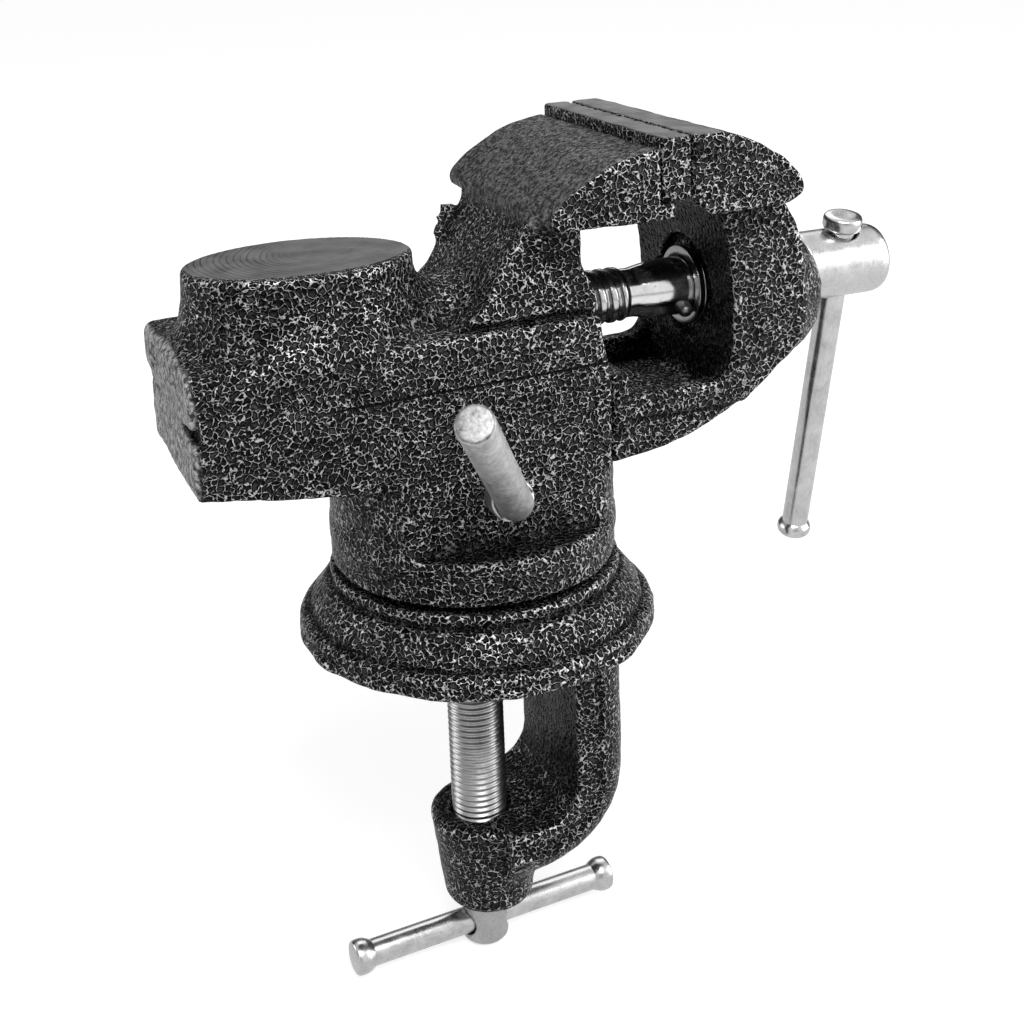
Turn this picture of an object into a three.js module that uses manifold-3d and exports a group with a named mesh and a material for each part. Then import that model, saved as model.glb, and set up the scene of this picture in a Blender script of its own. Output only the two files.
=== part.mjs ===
// Clamp-on bench vise with a swivel base, a small anvil and jaws 50 mm wide.
// Millimetres, +Z up. The origin is on the swivel axis, at the underside of the round base.
// +X points from the anvil to the spindle handle, and -Y is the side with the swivel lock.
import * as THREE from "three";
import { mergeVertices } from "three/addons/utils/BufferGeometryUtils.js";
import Module from "manifold-3d";

const wasm = await Module();
wasm.setup();

// Fits
const seatGap = 0.3; // between pieces that are seated on each other
const slideGap = 0.35; // round the slide in its channel
const runGap = 0.35; // round a screw or a bar in its hole
const swivelGap = 0.5; // between the base and the body that turns on it
const castEdge = 1.1; // bevel along the edges of a casting
const overrun = 2; // how far a cutter passes the surface that it cuts

// Swivel base
const baseRadius = 34.1;
const rimHeight = 4.7;
const rimTaper = 0.4;
const shoulderInset = 6;
const shoulderRise = 6.7;
const lipInset = 0.9;
const lipRise = 2.1;
const seatRise = 0.7; // ring that the drum turns on, above the lip of the base
const seatRadius = 22;
const postRadius = 15;
const postRise = 24;
const postChamfer = 1.2;
const lockGrooveDepth = 1.8;
const lockGrooveHeight = 6;

// C-frame below the base
const throatReach = 15.7; // clamp screw axis to the inner face of the frame
const throatHeight = 42;
const frameHalfWidth = 14;
const frameEdgeThickness = 5.4;
const frameCrown = 8.3;
const frameBendRadius = 8;
const clampAxisOffset = 1.2; // the clamp screw stands this far behind the swivel axis
const bossTopRadius = 11.3;
const bossBottomRadius = 8.9;
const bossHeight = 20.4;
const bossOffset = 1.3; // the boss reaches this much further to the frame than to the rear

// Vise body: drum, slide channel, anvil and fixed jaw
const drumRadius = 26.9;
const collarHeight = 8.4;
const bodyHalfWidth = 18.8;
const drumRise = 10.1;
const bodyFrontLength = 20.8;
const bodyFrontTaper = 1.6;
const channelFloorRise = 8.5;
const bodyRearRise = 7.8; // rear underside above the top of the drum
const bodyMidRise = 4.1;
const bodyKeelRise = 3.2;
const slideHalfWidth = 12;
const slideHeight = 9;
const slideRearLength = 46;
const slideEndGap = 5; // from the end of the slide to the rear wall of the channel
const channelRearWall = 4;
const spindleRise = 9.15; // spindle axis above the roof of the channel
const blockRise = 1.9; // side shoulders of the body above the spindle axis
const spindleHumpRadius = 8.8;
const spindleEndGap = 2; // from the end of the spindle to the end of its blind bore
const anvilHalfLength = 20.2;
const anvilHalfWidth = 14.9;
const anvilHeight = 13.1;
const anvilSetback = 30.5;
const anvilFootFlare = 4.2;
const anvilEdge = 0.5;
const neckHalfWidth = 16.2;
const neckFront = 17;
const neckRise = 19.5; // underside of the jaw wings above the spindle axis
const neckFootLength = 25;

// Jaws
const jawHalfWidth = 25;
const wingHeight = 12.4;
const fixedWingDepth = 20.5;
const plateThickness = 5.6;
const plateHeight = 11.4;
const plateProud = 2;
const plateRidge = 2.5; // the fixed jaw reaches under its plate by this
const plateCorner = 0.8;
const jawFaceX = 33.8;
const plateScrewSpacing = 28;
const plateScrewRadius = 2;
const plateScrewHeadRadius = 3.8;
const plateScrewLength = 10;
const jawGap = 0.35;
const movingWingDepth = 17.5;
const movingTopFlat = 5.3;
const faceSlabDepth = 3.8;

// Moving jaw wall, dome and arm
const wallHalfWidth = 19;
const wallFrontX = 60.8;
const domeReach = 9.2;
const domeDrop = 2.4; // middle of the dome below the spindle axis
const domeHeight = 14.5;
const armClearance = 0.8; // arm above the top of the drum
const armFloorShare = 0.301; // heights as shares of the rise from the arm's underside to the spindle axis
const cheekTopShare = 0.474;
const wallInnerShare = 0.632; // place of the wall's inner face along the arm
const cheekThickness = 4;
const armShoulderLength = 3.2;
const armInset = 1;
const recessRadius = 10.2;
const recessDepth = 1.3;

// Spindle
const threadRadius = 5.3;
const spindleSetback = 1; // the spindle ends this much before the slide
const threadFrontX = 31.8;
const spindleNeckRadius = 4.7;
const spindleNeckLength = 2;
const barrelRadius = 5.65;
const barrelSwell = 7;
const headRadius = 7;
const headLength = 19.4;
const headRound = 1.6;
const handleHoleShare = 0.54;
const nutLength = 13;
const nutHalfWidth = 8.2;
const nutRear = 1;
const nutTopRise = 7.8;
const washerRadius = 7.8;
const washerThickness = 0.95;
const crossPinRadius = 1.4;
const crossPinLength = 15;
const crossPinTilt = 34; // degrees above the horizontal

// Handles
const handleRadius = 2.75;
const handleLength = 76.6;
const handleTilt = 12; // degrees from the vertical
const handleCapRadius = 3.55;
const handleCapLength = 3;
const teeRadius = 2.65;
const teeLength = 58.5;
const teeTurn = 4.2; // degrees from the X axis
const teeCapRadius = 3.45;
const teeCapLength = 3.6;
const capRound = 0.7;
const capSocketDepth = 2.2;

// Clamp screw
const clampThreadRadius = 5.6;
const clampHeadRadius = 4.8;
const clampHeadLength = 10.4;
const clampChamfer = 0.9;
const teeDrop = 5.9; // tee bar axis below the boss
const padRadius = 8.5;
const padThickness = 5.2;
const padRest = 3; // top of the pad below the base at rest
const padNeckRadius = 3.2;
const padNeckDepth = 3.2;
const padRim = 1.2;

// Swivel lock
const lockAxisX = -1;
const lockHeight = 10; // lock axis above the ledge of the drum
const lockHeadRadius = 4.3;
const lockHeadLength = 5.2;
const lockShankRadius = 3;
const lockRodRadius = 3.25;
const lockRodLength = 44;
const lockRodLean = 48; // degrees between the rod and the screw's axis
const lockRodTurn = 33.5; // degrees from the vertical, towards the anvil
const lockRodSeat = 1.6;

// Places that follow from the sizes
const channelRearX = -slideRearLength - slideEndGap;
const bodyRearX = channelRearX - channelRearWall;
const spindleRearX = spindleSetback - slideRearLength;
const lipFootRadius = baseRadius - shoulderInset;
const lipRadius = lipFootRadius - lipInset;
const lipFootZ = rimHeight + shoulderRise;
const lipZ = lipFootZ + lipRise;
const baseTopZ = lipZ + seatRise;
const postTopZ = baseTopZ + postRise;
const bodyBottomZ = baseTopZ + swivelGap;
const ledgeZ = bodyBottomZ + collarHeight;
const lockZ = ledgeZ + lockHeight;
const drumTopZ = ledgeZ + drumRise;
const flatReach = Math.sqrt(drumRadius ** 2 - bodyHalfWidth ** 2);
const channelFloorZ = drumTopZ + channelFloorRise;
const slideBottomZ = channelFloorZ + slideGap;
const slideTopZ = slideBottomZ + slideHeight;
const channelRoofZ = slideTopZ + slideGap;
const spindleZ = channelRoofZ + spindleRise;
const blockTopZ = spindleZ + blockRise;
const anvilTopZ = blockTopZ + anvilHeight;
const wingBottomZ = spindleZ + neckRise;
const wingTopZ = wingBottomZ + wingHeight;
const jawTopZ = wingTopZ + plateProud;
const plateBottomZ = jawTopZ - plateHeight;
const plateBackX = jawFaceX - plateThickness;
const seatX = plateBackX - seatGap;
const movingFaceX = jawFaceX + jawGap;
const clampX = -clampAxisOffset;
const bossX = clampX + bossOffset;
const frameInnerX = clampX + throatReach;
const bossBottomZ = -throatHeight - bossHeight;
const teeZ = bossBottomZ - teeDrop;
const padTopZ = -padRest;
const padBottomZ = padTopZ - padThickness;
const armBackX = bodyFrontLength + slideGap;
const armBottomZ = drumTopZ + armClearance;
const armSpan = wallFrontX - armBackX;
const armRise = spindleZ - armBottomZ;
const armFloorZ = armBottomZ + armRise * armFloorShare;
const cheekTopZ = armBottomZ + armRise * cheekTopShare;
const wallInnerX = armBackX + armSpan * wallInnerShare;
const recessFloorX = wallInnerX + recessDepth;
const domeFaceX = wallFrontX + domeReach;
const headX = domeFaceX + seatGap;
const headEndX = headX + headLength;
const handleX = headX + headLength * handleHoleShare;

const degree = Math.PI / 180;
const quarterTurn = 90 * degree;
const roundSteps = 44;
const smallSteps = 24;

// Finishes
const blackPaint = () => new THREE.MeshStandardMaterial({ color: 0x2b2c2e, roughness: 0.55, metalness: 0.1 });
const zincPlate = () => new THREE.MeshStandardMaterial({ color: 0xb9bbbd, roughness: 0.32, metalness: 0.95 });
const darkSteel = () => new THREE.MeshStandardMaterial({ color: 0x5a5b5d, roughness: 0.3, metalness: 0.95 });
const groundSteel = () => new THREE.MeshStandardMaterial({ color: 0x8f9193, roughness: 0.4, metalness: 0.9 });

const vise = new THREE.Group();

// Turns a closed geometry into a solid that can be joined and cut
function toSolid(geometry) {
  const bare = geometry.clone();
  bare.deleteAttribute("normal");
  bare.deleteAttribute("uv");
  const merged = mergeVertices(bare);
  const points = merged.attributes.position.array;
  const index = merged.index.array;
  const corner = (i) => new THREE.Vector3().fromArray(points, i * 3);
  const faces = [];
  let volume = 0;
  for (let i = 0; i < index.length; i += 3) {
    const [a, b, c] = [index[i], index[i + 1], index[i + 2]];
    if (a === b || b === c || c === a) continue;
    volume += corner(a).dot(corner(b).cross(corner(c)));
    faces.push([a, b, c]);
  }
  if (volume < 0) faces.forEach((face) => face.reverse());
  const triVerts = new Uint32Array(faces.flat());
  return new wasm.Manifold(new wasm.Mesh({ numProp: 3, vertProperties: new Float32Array(points), triVerts }));
}

const solidOf = (shape) => (shape.isBufferGeometry ? toSolid(shape) : shape);

const join = (...shapes) => shapes.map(solidOf).reduce((whole, next) => whole.add(next));

const cut = (whole, ...cutters) => cutters.map(solidOf).reduce((rest, next) => rest.subtract(next), solidOf(whole));

// Turns a shape into a geometry with flat faces
function toGeometry(shape) {
  const mesh = solidOf(shape).getMesh();
  const geometry = new THREE.BufferGeometry();
  geometry.setAttribute("position", new THREE.BufferAttribute(mesh.vertProperties, 3));
  geometry.setIndex(new THREE.BufferAttribute(mesh.triVerts, 1));
  const flat = geometry.toNonIndexed();
  flat.computeVertexNormals();
  return flat;
}

// Adds a named piece to the vise, or to the group that carries it
function addPiece(name, shape, material, parent = vise) {
  const mesh = new THREE.Mesh(toGeometry(shape), material);
  mesh.name = name;
  parent.add(mesh);
  return mesh;
}

// A round shape about the Z axis, from pairs of radius and height
function turnedUp(profile, steps = roundSteps) {
  const points = profile.map(([r, z]) => new THREE.Vector2(r, z));
  return new THREE.LatheGeometry(points, steps).rotateX(quarterTurn);
}

// A round shape about the X axis, from pairs of place along X and radius
function turnedAlong(profile, steps = roundSteps) {
  const points = profile.map(([x, r]) => new THREE.Vector2(r, x));
  return new THREE.LatheGeometry(points, steps).rotateZ(-quarterTurn);
}

// A bar about the Z axis between two heights, with both ends chamfered
function roundBar(radius, low, high, chamfer) {
  const foot = [[0, low], [radius - chamfer, low], [radius, low + chamfer]];
  const top = [[radius, high - chamfer], [radius - chamfer, high], [0, high]];
  return turnedUp([...foot, ...top], smallSteps);
}

// A side outline of X and Z pairs, drawn out to the same width on both sides of the middle plane
function sideSlab(outline, halfWidth, edge = 0) {
  const shape = new THREE.Shape(outline.map(([x, z]) => new THREE.Vector2(x, z)));
  const cornerSize = { bevelThickness: edge, bevelSize: edge, bevelOffset: -edge };
  const bevel = { bevelEnabled: edge > 0, bevelSegments: 2, ...cornerSize };
  const depth = 2 * (halfWidth - edge);
  const slab = new THREE.ExtrudeGeometry(shape, { depth, steps: 1, ...bevel });
  return slab.translate(0, 0, -depth / 2).rotateX(quarterTurn);
}

// A block between two corners
function block(low, high) {
  const size = high.map((value, i) => value - low[i]);
  const middle = high.map((value, i) => (value + low[i]) / 2);
  return new THREE.BoxGeometry(...size).translate(...middle);
}

// A straight bar or cutter between two points
function rodBetween(start, end, radius, steps = smallSteps) {
  const from = new THREE.Vector3(...start);
  const to = new THREE.Vector3(...end);
  const rod = new THREE.CylinderGeometry(radius, radius, from.distanceTo(to), steps);
  const along = to.clone().sub(from).normalize();
  rod.applyQuaternion(new THREE.Quaternion().setFromUnitVectors(new THREE.Vector3(0, 1, 0), along));
  return rod.translate(...from.add(to).multiplyScalar(0.5).toArray());
}

// Rounded back of the fixed jaw: shares of its depth and height, from the top edge down to the underside
const fixedWingShares = [
  [0, 1], [0.12, 0.975], [0.35, 0.9], [0.5, 0.81], [0.66, 0.66], [0.8, 0.53],
  [0.9, 0.4], [0.98, 0.27], [1, 0.17], [0.99, 0.06], [0.94, 0],
];

// The same for the moving jaw
const movingWingShares = [
  [0, 1], [0.27, 0.9], [0.5, 0.77], [0.74, 0.6], [0.914, 0.41],
  [0.985, 0.27], [1, 0.19], [0.97, 0.1], [0.9, 0.04], [0.8, 0],
];

// Swivel base: disc, swivel post, C-frame and threaded boss in one casting
function clampBase() {
  const grooveLow = lockZ - lockGrooveHeight / 2;
  const grooveHigh = lockZ + lockGrooveHeight / 2;
  const rimRadius = baseRadius - rimTaper;
  const disc = turnedUp([
    [0, 0], [baseRadius - castEdge, 0], [baseRadius, castEdge], [rimRadius, rimHeight],
    [rimRadius - shoulderInset * 0.28, rimHeight + shoulderRise * 0.25],
    [rimRadius - shoulderInset * 0.55, rimHeight + shoulderRise * 0.54],
    [lipFootRadius, lipFootZ], [lipRadius, lipZ], [seatRadius + castEdge, lipZ], [seatRadius, baseTopZ],
    [postRadius, baseTopZ], [postRadius, grooveLow], [postRadius - lockGrooveDepth, lockZ],
    [postRadius, grooveHigh], [postRadius, postTopZ - postChamfer], [postRadius - postChamfer, postTopZ],
    [0, postTopZ],
  ], roundSteps + smallSteps / 2);
  const boss = turnedUp([
    [0, bossBottomZ], [bossBottomRadius - castEdge, bossBottomZ], [bossBottomRadius, bossBottomZ + castEdge],
    [bossTopRadius, -throatHeight - castEdge], [bossTopRadius - castEdge, -throatHeight], [0, -throatHeight],
  ]).translate(bossX, 0, 0);
  const boreStart = [clampX, 0, bossBottomZ - overrun];
  const bore = rodBetween(boreStart, [clampX, 0, overrun - throatHeight], clampThreadRadius + runGap, roundSteps);
  return cut(join(disc, cFrame(), boss), bore);
}

// Thickness of the crown along the C-frame, as shares: down the leg, round the bend and into the boss
const crownShares = [1, 1, 0.97, 0.92, 0.87, 0.87, 0.93, 1.02, 1.08];

// The strap of the C-frame: flat inside, crowned outside, down from the disc and round to the boss
function cFrame() {
  const bendX = frameInnerX - frameBendRadius;
  const bendZ = frameBendRadius - throatHeight;
  const bendSteps = crownShares.length - 3;
  const bend = Array.from({ length: bendSteps + 1 }, (_, i) => {
    const angle = (i / bendSteps) * quarterTurn;
    const [x, z] = [Math.cos(angle), Math.sin(angle)].map((side) => frameBendRadius * side);
    return new THREE.Vector3(bendX + x, 0, bendZ - z);
  });
  const top = new THREE.Vector3(frameInnerX, 0, castEdge);
  return sweptStrap([top, ...bend, new THREE.Vector3(bossX, 0, -throatHeight)]);
}

// Outline of the strap across its length: how far out and how far to the side, round the crown
function strapSection(crown) {
  const steps = 8;
  const round = Array.from({ length: steps + 1 }, (_, i) => {
    const angle = (i / steps) * 2 * quarterTurn - quarterTurn;
    return [frameEdgeThickness + crown * Math.cos(angle), frameHalfWidth * Math.sin(angle)];
  });
  return [[0, -frameHalfWidth], ...round, [0, frameHalfWidth]];
}

// Carries the strap's section along its inner line in the plane y = 0
function sweptStrap(line) {
  const positions = [];
  line.forEach((place, i) => {
    const before = line[Math.max(i - 1, 0)];
    const after = line[Math.min(i + 1, line.length - 1)];
    const along = after.clone().sub(before).normalize();
    const outward = new THREE.Vector3(-along.z, 0, along.x);
    strapSection(frameCrown * crownShares[i]).forEach(([out, side]) => {
      positions.push(place.x + outward.x * out, side, place.z + outward.z * out);
    });
  });
  const outline = strapSection(frameCrown).map(([out, side]) => new THREE.Vector2(out, side));
  const count = outline.length;
  const last = (line.length - 1) * count;
  const faces = [];
  for (let i = 0; i < last; i += count) {
    for (let j = 0; j < count; j++) {
      const next = (j + 1) % count;
      const [a, b, c, d] = [i + j, i + next, i + count + j, i + count + next];
      faces.push(a, b, c, b, d, c);
    }
  }
  THREE.ShapeUtils.triangulateShape(outline, []).forEach(([a, b, c]) => {
    faces.push(c, b, a, last + a, last + b, last + c);
  });
  const geometry = new THREE.BufferGeometry();
  geometry.setAttribute("position", new THREE.Float32BufferAttribute(positions, 3));
  geometry.setIndex(faces);
  return geometry;
}

// Oval anvil block that stands on the rear of the body, with a flared foot
function anvil() {
  const stem = anvilHalfLength + anvilEdge;
  const flare = (share) => stem + (anvilFootFlare - anvilEdge) * share;
  const profile = turnedUp([
    [0, blockTopZ - castEdge], [flare(1), blockTopZ - castEdge], [flare(1), blockTopZ],
    [flare(0.5), blockTopZ + anvilHeight * 0.13], [flare(0.2), blockTopZ + anvilHeight * 0.35],
    [stem, blockTopZ + anvilHeight * 0.62], [stem, anvilTopZ - anvilEdge],
    [anvilHalfLength, anvilTopZ], [0, anvilTopZ],
  ]);
  return profile.scale(1, anvilHalfWidth / anvilHalfLength, 1).translate(-anvilSetback, 0, 0);
}

// Back of the neck, as shares from the tip of the jaw's wing down to the foot behind it
const archShares = [
  [0, 1], [0.17, 0.83], [0.34, 0.72], [0.48, 0.49], [0.52, 0.4], [0.58, 0.29], [0.72, 0.16], [1, 0],
];

const spindleFrontX = bodyFrontLength - bodyFrontTaper;

// Side outline of the channel block, from the rear underside, round the front, to the rear top
const blockOutline = [
  [bodyRearX, drumTopZ + bodyRearRise], [-anvilSetback, drumTopZ + bodyMidRise],
  [-flatReach, drumTopZ + bodyKeelRise], [-flatReach, ledgeZ], [flatReach, ledgeZ], [flatReach, drumTopZ],
  [bodyFrontLength, drumTopZ + seatGap * 2], [bodyFrontLength, slideTopZ], [spindleFrontX, spindleZ],
  [spindleFrontX, blockTopZ], [bodyRearX, blockTopZ],
];

// Neck, set in a little from the sides of the block that it stands on
function neck() {
  const top = wingBottomZ + castEdge * 2;
  const foot = blockTopZ - castEdge * 2;
  const archTopX = seatX - fixedWingDepth + castEdge;
  const archFootX = neckFront - neckFootLength;
  const archHeight = wingBottomZ - blockTopZ;
  return sideSlab([
    [spindleFrontX, foot], [spindleFrontX, spindleZ + neckRise * 0.35], [neckFront, spindleZ + neckRise * 0.56],
    [neckFront, top], [archTopX, top],
    ...archShares.map(([along, up]) => [archTopX + (archFootX - archTopX) * along, blockTopZ + archHeight * up]),
    [archFootX, foot],
  ], neckHalfWidth, castEdge);
}

// Body casting: drum, channel block, anvil, neck and fixed jaw, with the channel and the bores cut out
function viseBody() {
  const whole = join(
    drum(), sideSlab(blockOutline, bodyHalfWidth, castEdge), neck(), anvil(), spindleHump(), fixedJaw(),
  );
  return cut(whole, ...channelCutters(), nutPocket(), ...swivelCutters(), ...plateScrewHoles());
}

// Round foot of the body: a full ring at the bottom, flat on both sides above the ledge
function drum() {
  const low = ledgeZ - overrun;
  const rearTopZ = drumTopZ + bodyMidRise;
  const collar = turnedUp([
    [0, bodyBottomZ], [drumRadius - castEdge / 2, bodyBottomZ], [drumRadius, bodyBottomZ + castEdge / 2],
    [drumRadius, ledgeZ], [0, ledgeZ],
  ]);
  const column = turnedUp([[0, low], [drumRadius, low], [drumRadius, rearTopZ], [0, rearTopZ]]);
  const front = block([-castEdge, -bodyHalfWidth, low], [drumRadius, bodyHalfWidth, drumTopZ]);
  const rear = block([-drumRadius, -bodyHalfWidth, low], [0, bodyHalfWidth, rearTopZ]);
  return join(collar, solidOf(column).intersect(join(front, rear)));
}

// Round back over the blind end of the spindle bore, between the anvil and the neck
function spindleHump() {
  return turnedAlong([
    [-anvilSetback, 0], [-anvilSetback, spindleHumpRadius], [neckFront, spindleHumpRadius], [neckFront, 0],
  ]).translate(0, 0, spindleZ);
}

// Fixed jaw: two wings that overhang the neck, with the seat for the plate
function fixedJaw() {
  const ridgeX = plateBackX + plateRidge;
  const ridgeZ = plateBottomZ - seatGap;
  const outline = [
    ...fixedWingShares.map(([along, up]) => [seatX - fixedWingDepth * along, wingBottomZ + wingHeight * up]),
    [ridgeX, wingBottomZ], [ridgeX, ridgeZ], [seatX, ridgeZ],
  ];
  return sideSlab(outline, jawHalfWidth);
}

// Slide channel, open below the overhanging rear, and the blind bore for the spindle
function channelCutters() {
  const side = slideHalfWidth + slideGap;
  const front = bodyFrontLength + overrun;
  const boreEnd = [spindleRearX - spindleEndGap, 0, spindleZ];
  return [
    block([channelRearX, -side, channelFloorZ], [front, side, channelRoofZ]),
    block([channelRearX, -side, drumTopZ - overrun], [-drumRadius - castEdge, side, channelRoofZ]),
    rodBetween(boreEnd, [front, 0, spindleZ], threadRadius + runGap, roundSteps),
  ];
}

// Pocket in the roof of the channel for the nut, which the slide keeps up
function nutPocket() {
  const side = nutHalfWidth + seatGap;
  const low = [nutRear - seatGap, -side, channelRoofZ - overrun];
  return block(low, [nutRear + nutLength + seatGap, side, spindleZ + nutTopRise + seatGap]);
}

// Socket for the swivel post and the tapped hole for the lock screw
function swivelCutters() {
  const socketTop = postTopZ + swivelGap;
  const wall = postRadius + runGap;
  const low = bodyBottomZ - overrun;
  const socket = turnedUp([[0, low], [wall, low], [wall, socketTop], [0, socketTop]]);
  return [socket, rodBetween([lockAxisX, 0, lockZ], [lockAxisX, -drumRadius, lockZ], lockShankRadius + runGap)];
}

const plateScrewZ = (plateBottomZ + jawTopZ) / 2;
const plateScrewSides = [["near", -plateScrewSpacing / 2], ["far", plateScrewSpacing / 2]];

// Blind holes in the fixed jaw for the two plate screws
function plateScrewHoles() {
  const depth = jawFaceX - plateScrewLength - seatGap * 2;
  return plateScrewSides.map(([, y]) => (
    rodBetween([depth, y, plateScrewZ], [jawFaceX, y, plateScrewZ], plateScrewRadius + seatGap)
  ));
}

// Hardened plate on the fixed jaw, with two countersunk holes
function jawPlate() {
  const plate = sideSlab([
    [plateBackX, plateBottomZ + plateCorner], [plateBackX + plateCorner, plateBottomZ],
    [jawFaceX - plateCorner, plateBottomZ], [jawFaceX, plateBottomZ + plateCorner],
    [jawFaceX, jawTopZ], [plateBackX, jawTopZ],
  ], jawHalfWidth);
  return cut(plate, ...plateScrewSides.map(([, y]) => plateScrewForm(y, seatGap, overrun)));
}

// Countersunk form along X, grown by a gap where it cuts a hole
function plateScrewForm(y, gap, proud) {
  const rise = plateScrewHeadRadius - plateScrewRadius;
  const front = jawFaceX - seatGap;
  return turnedAlong([
    [front - plateScrewLength, 0], [front - plateScrewLength, plateScrewRadius + gap],
    [front - rise, plateScrewRadius + gap], [front, plateScrewHeadRadius + gap],
    [front + proud, plateScrewHeadRadius + gap], [front + proud, 0],
  ], smallSteps).translate(0, y, plateScrewZ);
}

// Screw for the jaw plate with a driver slot across its head
function plateScrew(y) {
  const slotWidth = plateScrewRadius * 0.4;
  const slotDepth = plateScrewRadius * 0.6;
  const slotX = jawFaceX - seatGap - slotDepth;
  const low = [slotX, y - plateScrewHeadRadius, plateScrewZ - slotWidth / 2];
  const slot = block(low, [jawFaceX + overrun, y + plateScrewHeadRadius, plateScrewZ + slotWidth / 2]);
  return cut(plateScrewForm(y, 0, seatGap / 2), slot);
}

// Square nut that lies in the pocket above the slide
function spindleNut() {
  const corner = nutHalfWidth * 0.2;
  const low = slideTopZ + seatGap;
  const high = spindleZ + nutTopRise;
  const section = new THREE.Shape([
    [-nutHalfWidth, low], [nutHalfWidth, low], [nutHalfWidth, high - corner], [nutHalfWidth - corner, high],
    [corner - nutHalfWidth, high], [-nutHalfWidth, high - corner],
  ].map(([y, z]) => new THREE.Vector2(y, z)));
  const prism = new THREE.ExtrudeGeometry(section, { depth: nutLength, bevelEnabled: false });
  prism.rotateX(quarterTurn).rotateZ(quarterTurn).translate(nutRear, 0, 0);
  const boreStart = [nutRear - overrun, 0, spindleZ];
  const bore = rodBetween(boreStart, [nutRear + nutLength + overrun, 0, spindleZ], threadRadius + runGap, roundSteps);
  return cut(prism, bore);
}

// Shares of the arm's span and of its rise to the spindle axis: underside, front of the wall, inner face
const keelShares = [[0, 0], [0.18, 0.023], [0.284, 0.049], [0.39, 0.094], [0.496, 0.154], [0.604, 0.233]];
const frontShares = [
  [0.682, 0.301], [0.7226, 0.345], [0.793, 0.41], [0.874, 0.508], [0.955, 0.613], [0.993, 0.714], [1, 0.865],
  [1, 1.203], [0.99, 1.402], [0.955, 1.556], [0.912, 1.673], [0.841, 1.786],
];
const innerShares = [
  [0.541, 1.786], [0.556, 1.654], [0.581, 1.549], [0.614, 1.335], [0.629, 1.053], [wallInnerShare, 0.752],
  [0.619, 0.583], [0.576, 0.496], [0.526, cheekTopShare], [0, cheekTopShare],
];
const onArm = ([along, up]) => [armBackX + armSpan * along, armBottomZ + armRise * up];

// Moving jaw: wings, wall with the dome round the spindle, arm with two cheeks, and the slide
function movingJaw() {
  const topX = movingFaceX + movingTopFlat;
  const lift = jawTopZ - wingBottomZ;
  const head = sideSlab([
    [movingFaceX, jawTopZ],
    ...movingWingShares.map(([along, up]) => [topX + movingWingDepth * along, wingBottomZ + lift * up]),
    [movingFaceX + faceSlabDepth, wingBottomZ], [movingFaceX, plateBottomZ - seatGap],
  ], jawHalfWidth);
  const frame = sideSlab([[0, armFloorShare], ...frontShares, ...innerShares].map(onArm), wallHalfWidth, castEdge);
  return cut(join(head, cut(join(frame, armFloor()), trough()), dome(), shoulder(), slide()), ...jawBores());
}

// Floor of the arm, set in a little from the cheeks
function armFloor() {
  const top = [[0.66, cheekTopShare * 0.9], [0, cheekTopShare * 0.9]];
  return sideSlab([...keelShares, ...frontShares.slice(0, 2), ...top].map(onArm), wallHalfWidth - armInset);
}

// Space between the two cheeks of the arm
function trough() {
  const inside = wallHalfWidth - cheekThickness;
  return block([armBackX + armShoulderLength, -inside, armFloorZ], [wallInnerX, inside, cheekTopZ + overrun]);
}

// Thick rear end of the arm, where the slide begins
function shoulder() {
  return block([armBackX, -wallHalfWidth, armFloorZ], [armBackX + armShoulderLength, wallHalfWidth, slideTopZ]);
}

// Dome on the front of the wall, as wide as the wall
function dome() {
  const shares = [[0, 1], [0.38, 0.94], [0.68, 0.83], [0.9, 0.7], [1, 0.56]];
  const rearX = (wallInnerX + wallFrontX) / 2;
  const profile = turnedAlong([
    [rearX, 0], [rearX, domeHeight],
    ...shares.map(([along, out]) => [wallFrontX + domeReach * along, domeHeight * out]),
    [domeFaceX, 0],
  ]);
  return profile.scale(1, (wallHalfWidth - castEdge) / domeHeight, 1).translate(0, 0, spindleZ - domeDrop);
}

// Slide that runs back from the arm inside the channel of the body
function slide() {
  const low = [-slideRearLength, -slideHalfWidth, slideBottomZ];
  return block(low, [armBackX + armShoulderLength, slideHalfWidth, slideTopZ]);
}

// Bore for the spindle and the shallow recess for its washers
function jawBores() {
  const start = [wallInnerX - overrun, 0, spindleZ];
  return [
    rodBetween(start, [domeFaceX + overrun, 0, spindleZ], barrelRadius + runGap, roundSteps),
    rodBetween(start, [recessFloorX, 0, spindleZ], recessRadius, roundSteps),
  ];
}

const lean = handleTilt * degree;

// A point on the handle's axis, at a distance above the spindle axis
const onHandle = (distance) => [handleX, -Math.sin(lean) * distance, spindleZ + Math.cos(lean) * distance];

// Spindle: screw, turned rings, swollen barrel through the jaw, and the head with its cross hole
function spindle() {
  const ring = threadRadius * 0.1;
  const pitch = threadRadius * 0.45;
  const neckX = threadFrontX + spindleNeckLength * 0.2;
  const neckEndX = neckX + spindleNeckLength;
  const rings = [2, 1].flatMap((i) => {
    const x = threadFrontX - pitch * i;
    const groove = threadRadius - ring;
    return [[x, threadRadius], [x + ring, groove], [x + ring * 2, groove], [x + ring * 3, threadRadius]];
  });
  const body = turnedAlong([
    [spindleRearX, 0], [spindleRearX, threadRadius - ring * 2],
    [spindleRearX + ring * 2, threadRadius], ...rings, [threadFrontX, threadRadius],
    [neckX, spindleNeckRadius], [neckEndX, spindleNeckRadius], [neckEndX + barrelSwell * 0.5, barrelRadius - ring],
    [neckEndX + barrelSwell, barrelRadius], [headX, barrelRadius], [headX, headRadius],
    [headEndX - headRound, headRadius], [headEndX - headRound * 0.3, headRadius - headRound * 0.3],
    [headEndX, headRadius - headRound], [headEndX, 0],
  ]).translate(0, 0, spindleZ);
  const reach = headRadius + overrun;
  const handleHole = rodBetween(onHandle(-reach), onHandle(reach), handleRadius + runGap);
  return cut(body, handleHole, crossPin(seatGap, overrun));
}

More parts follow.
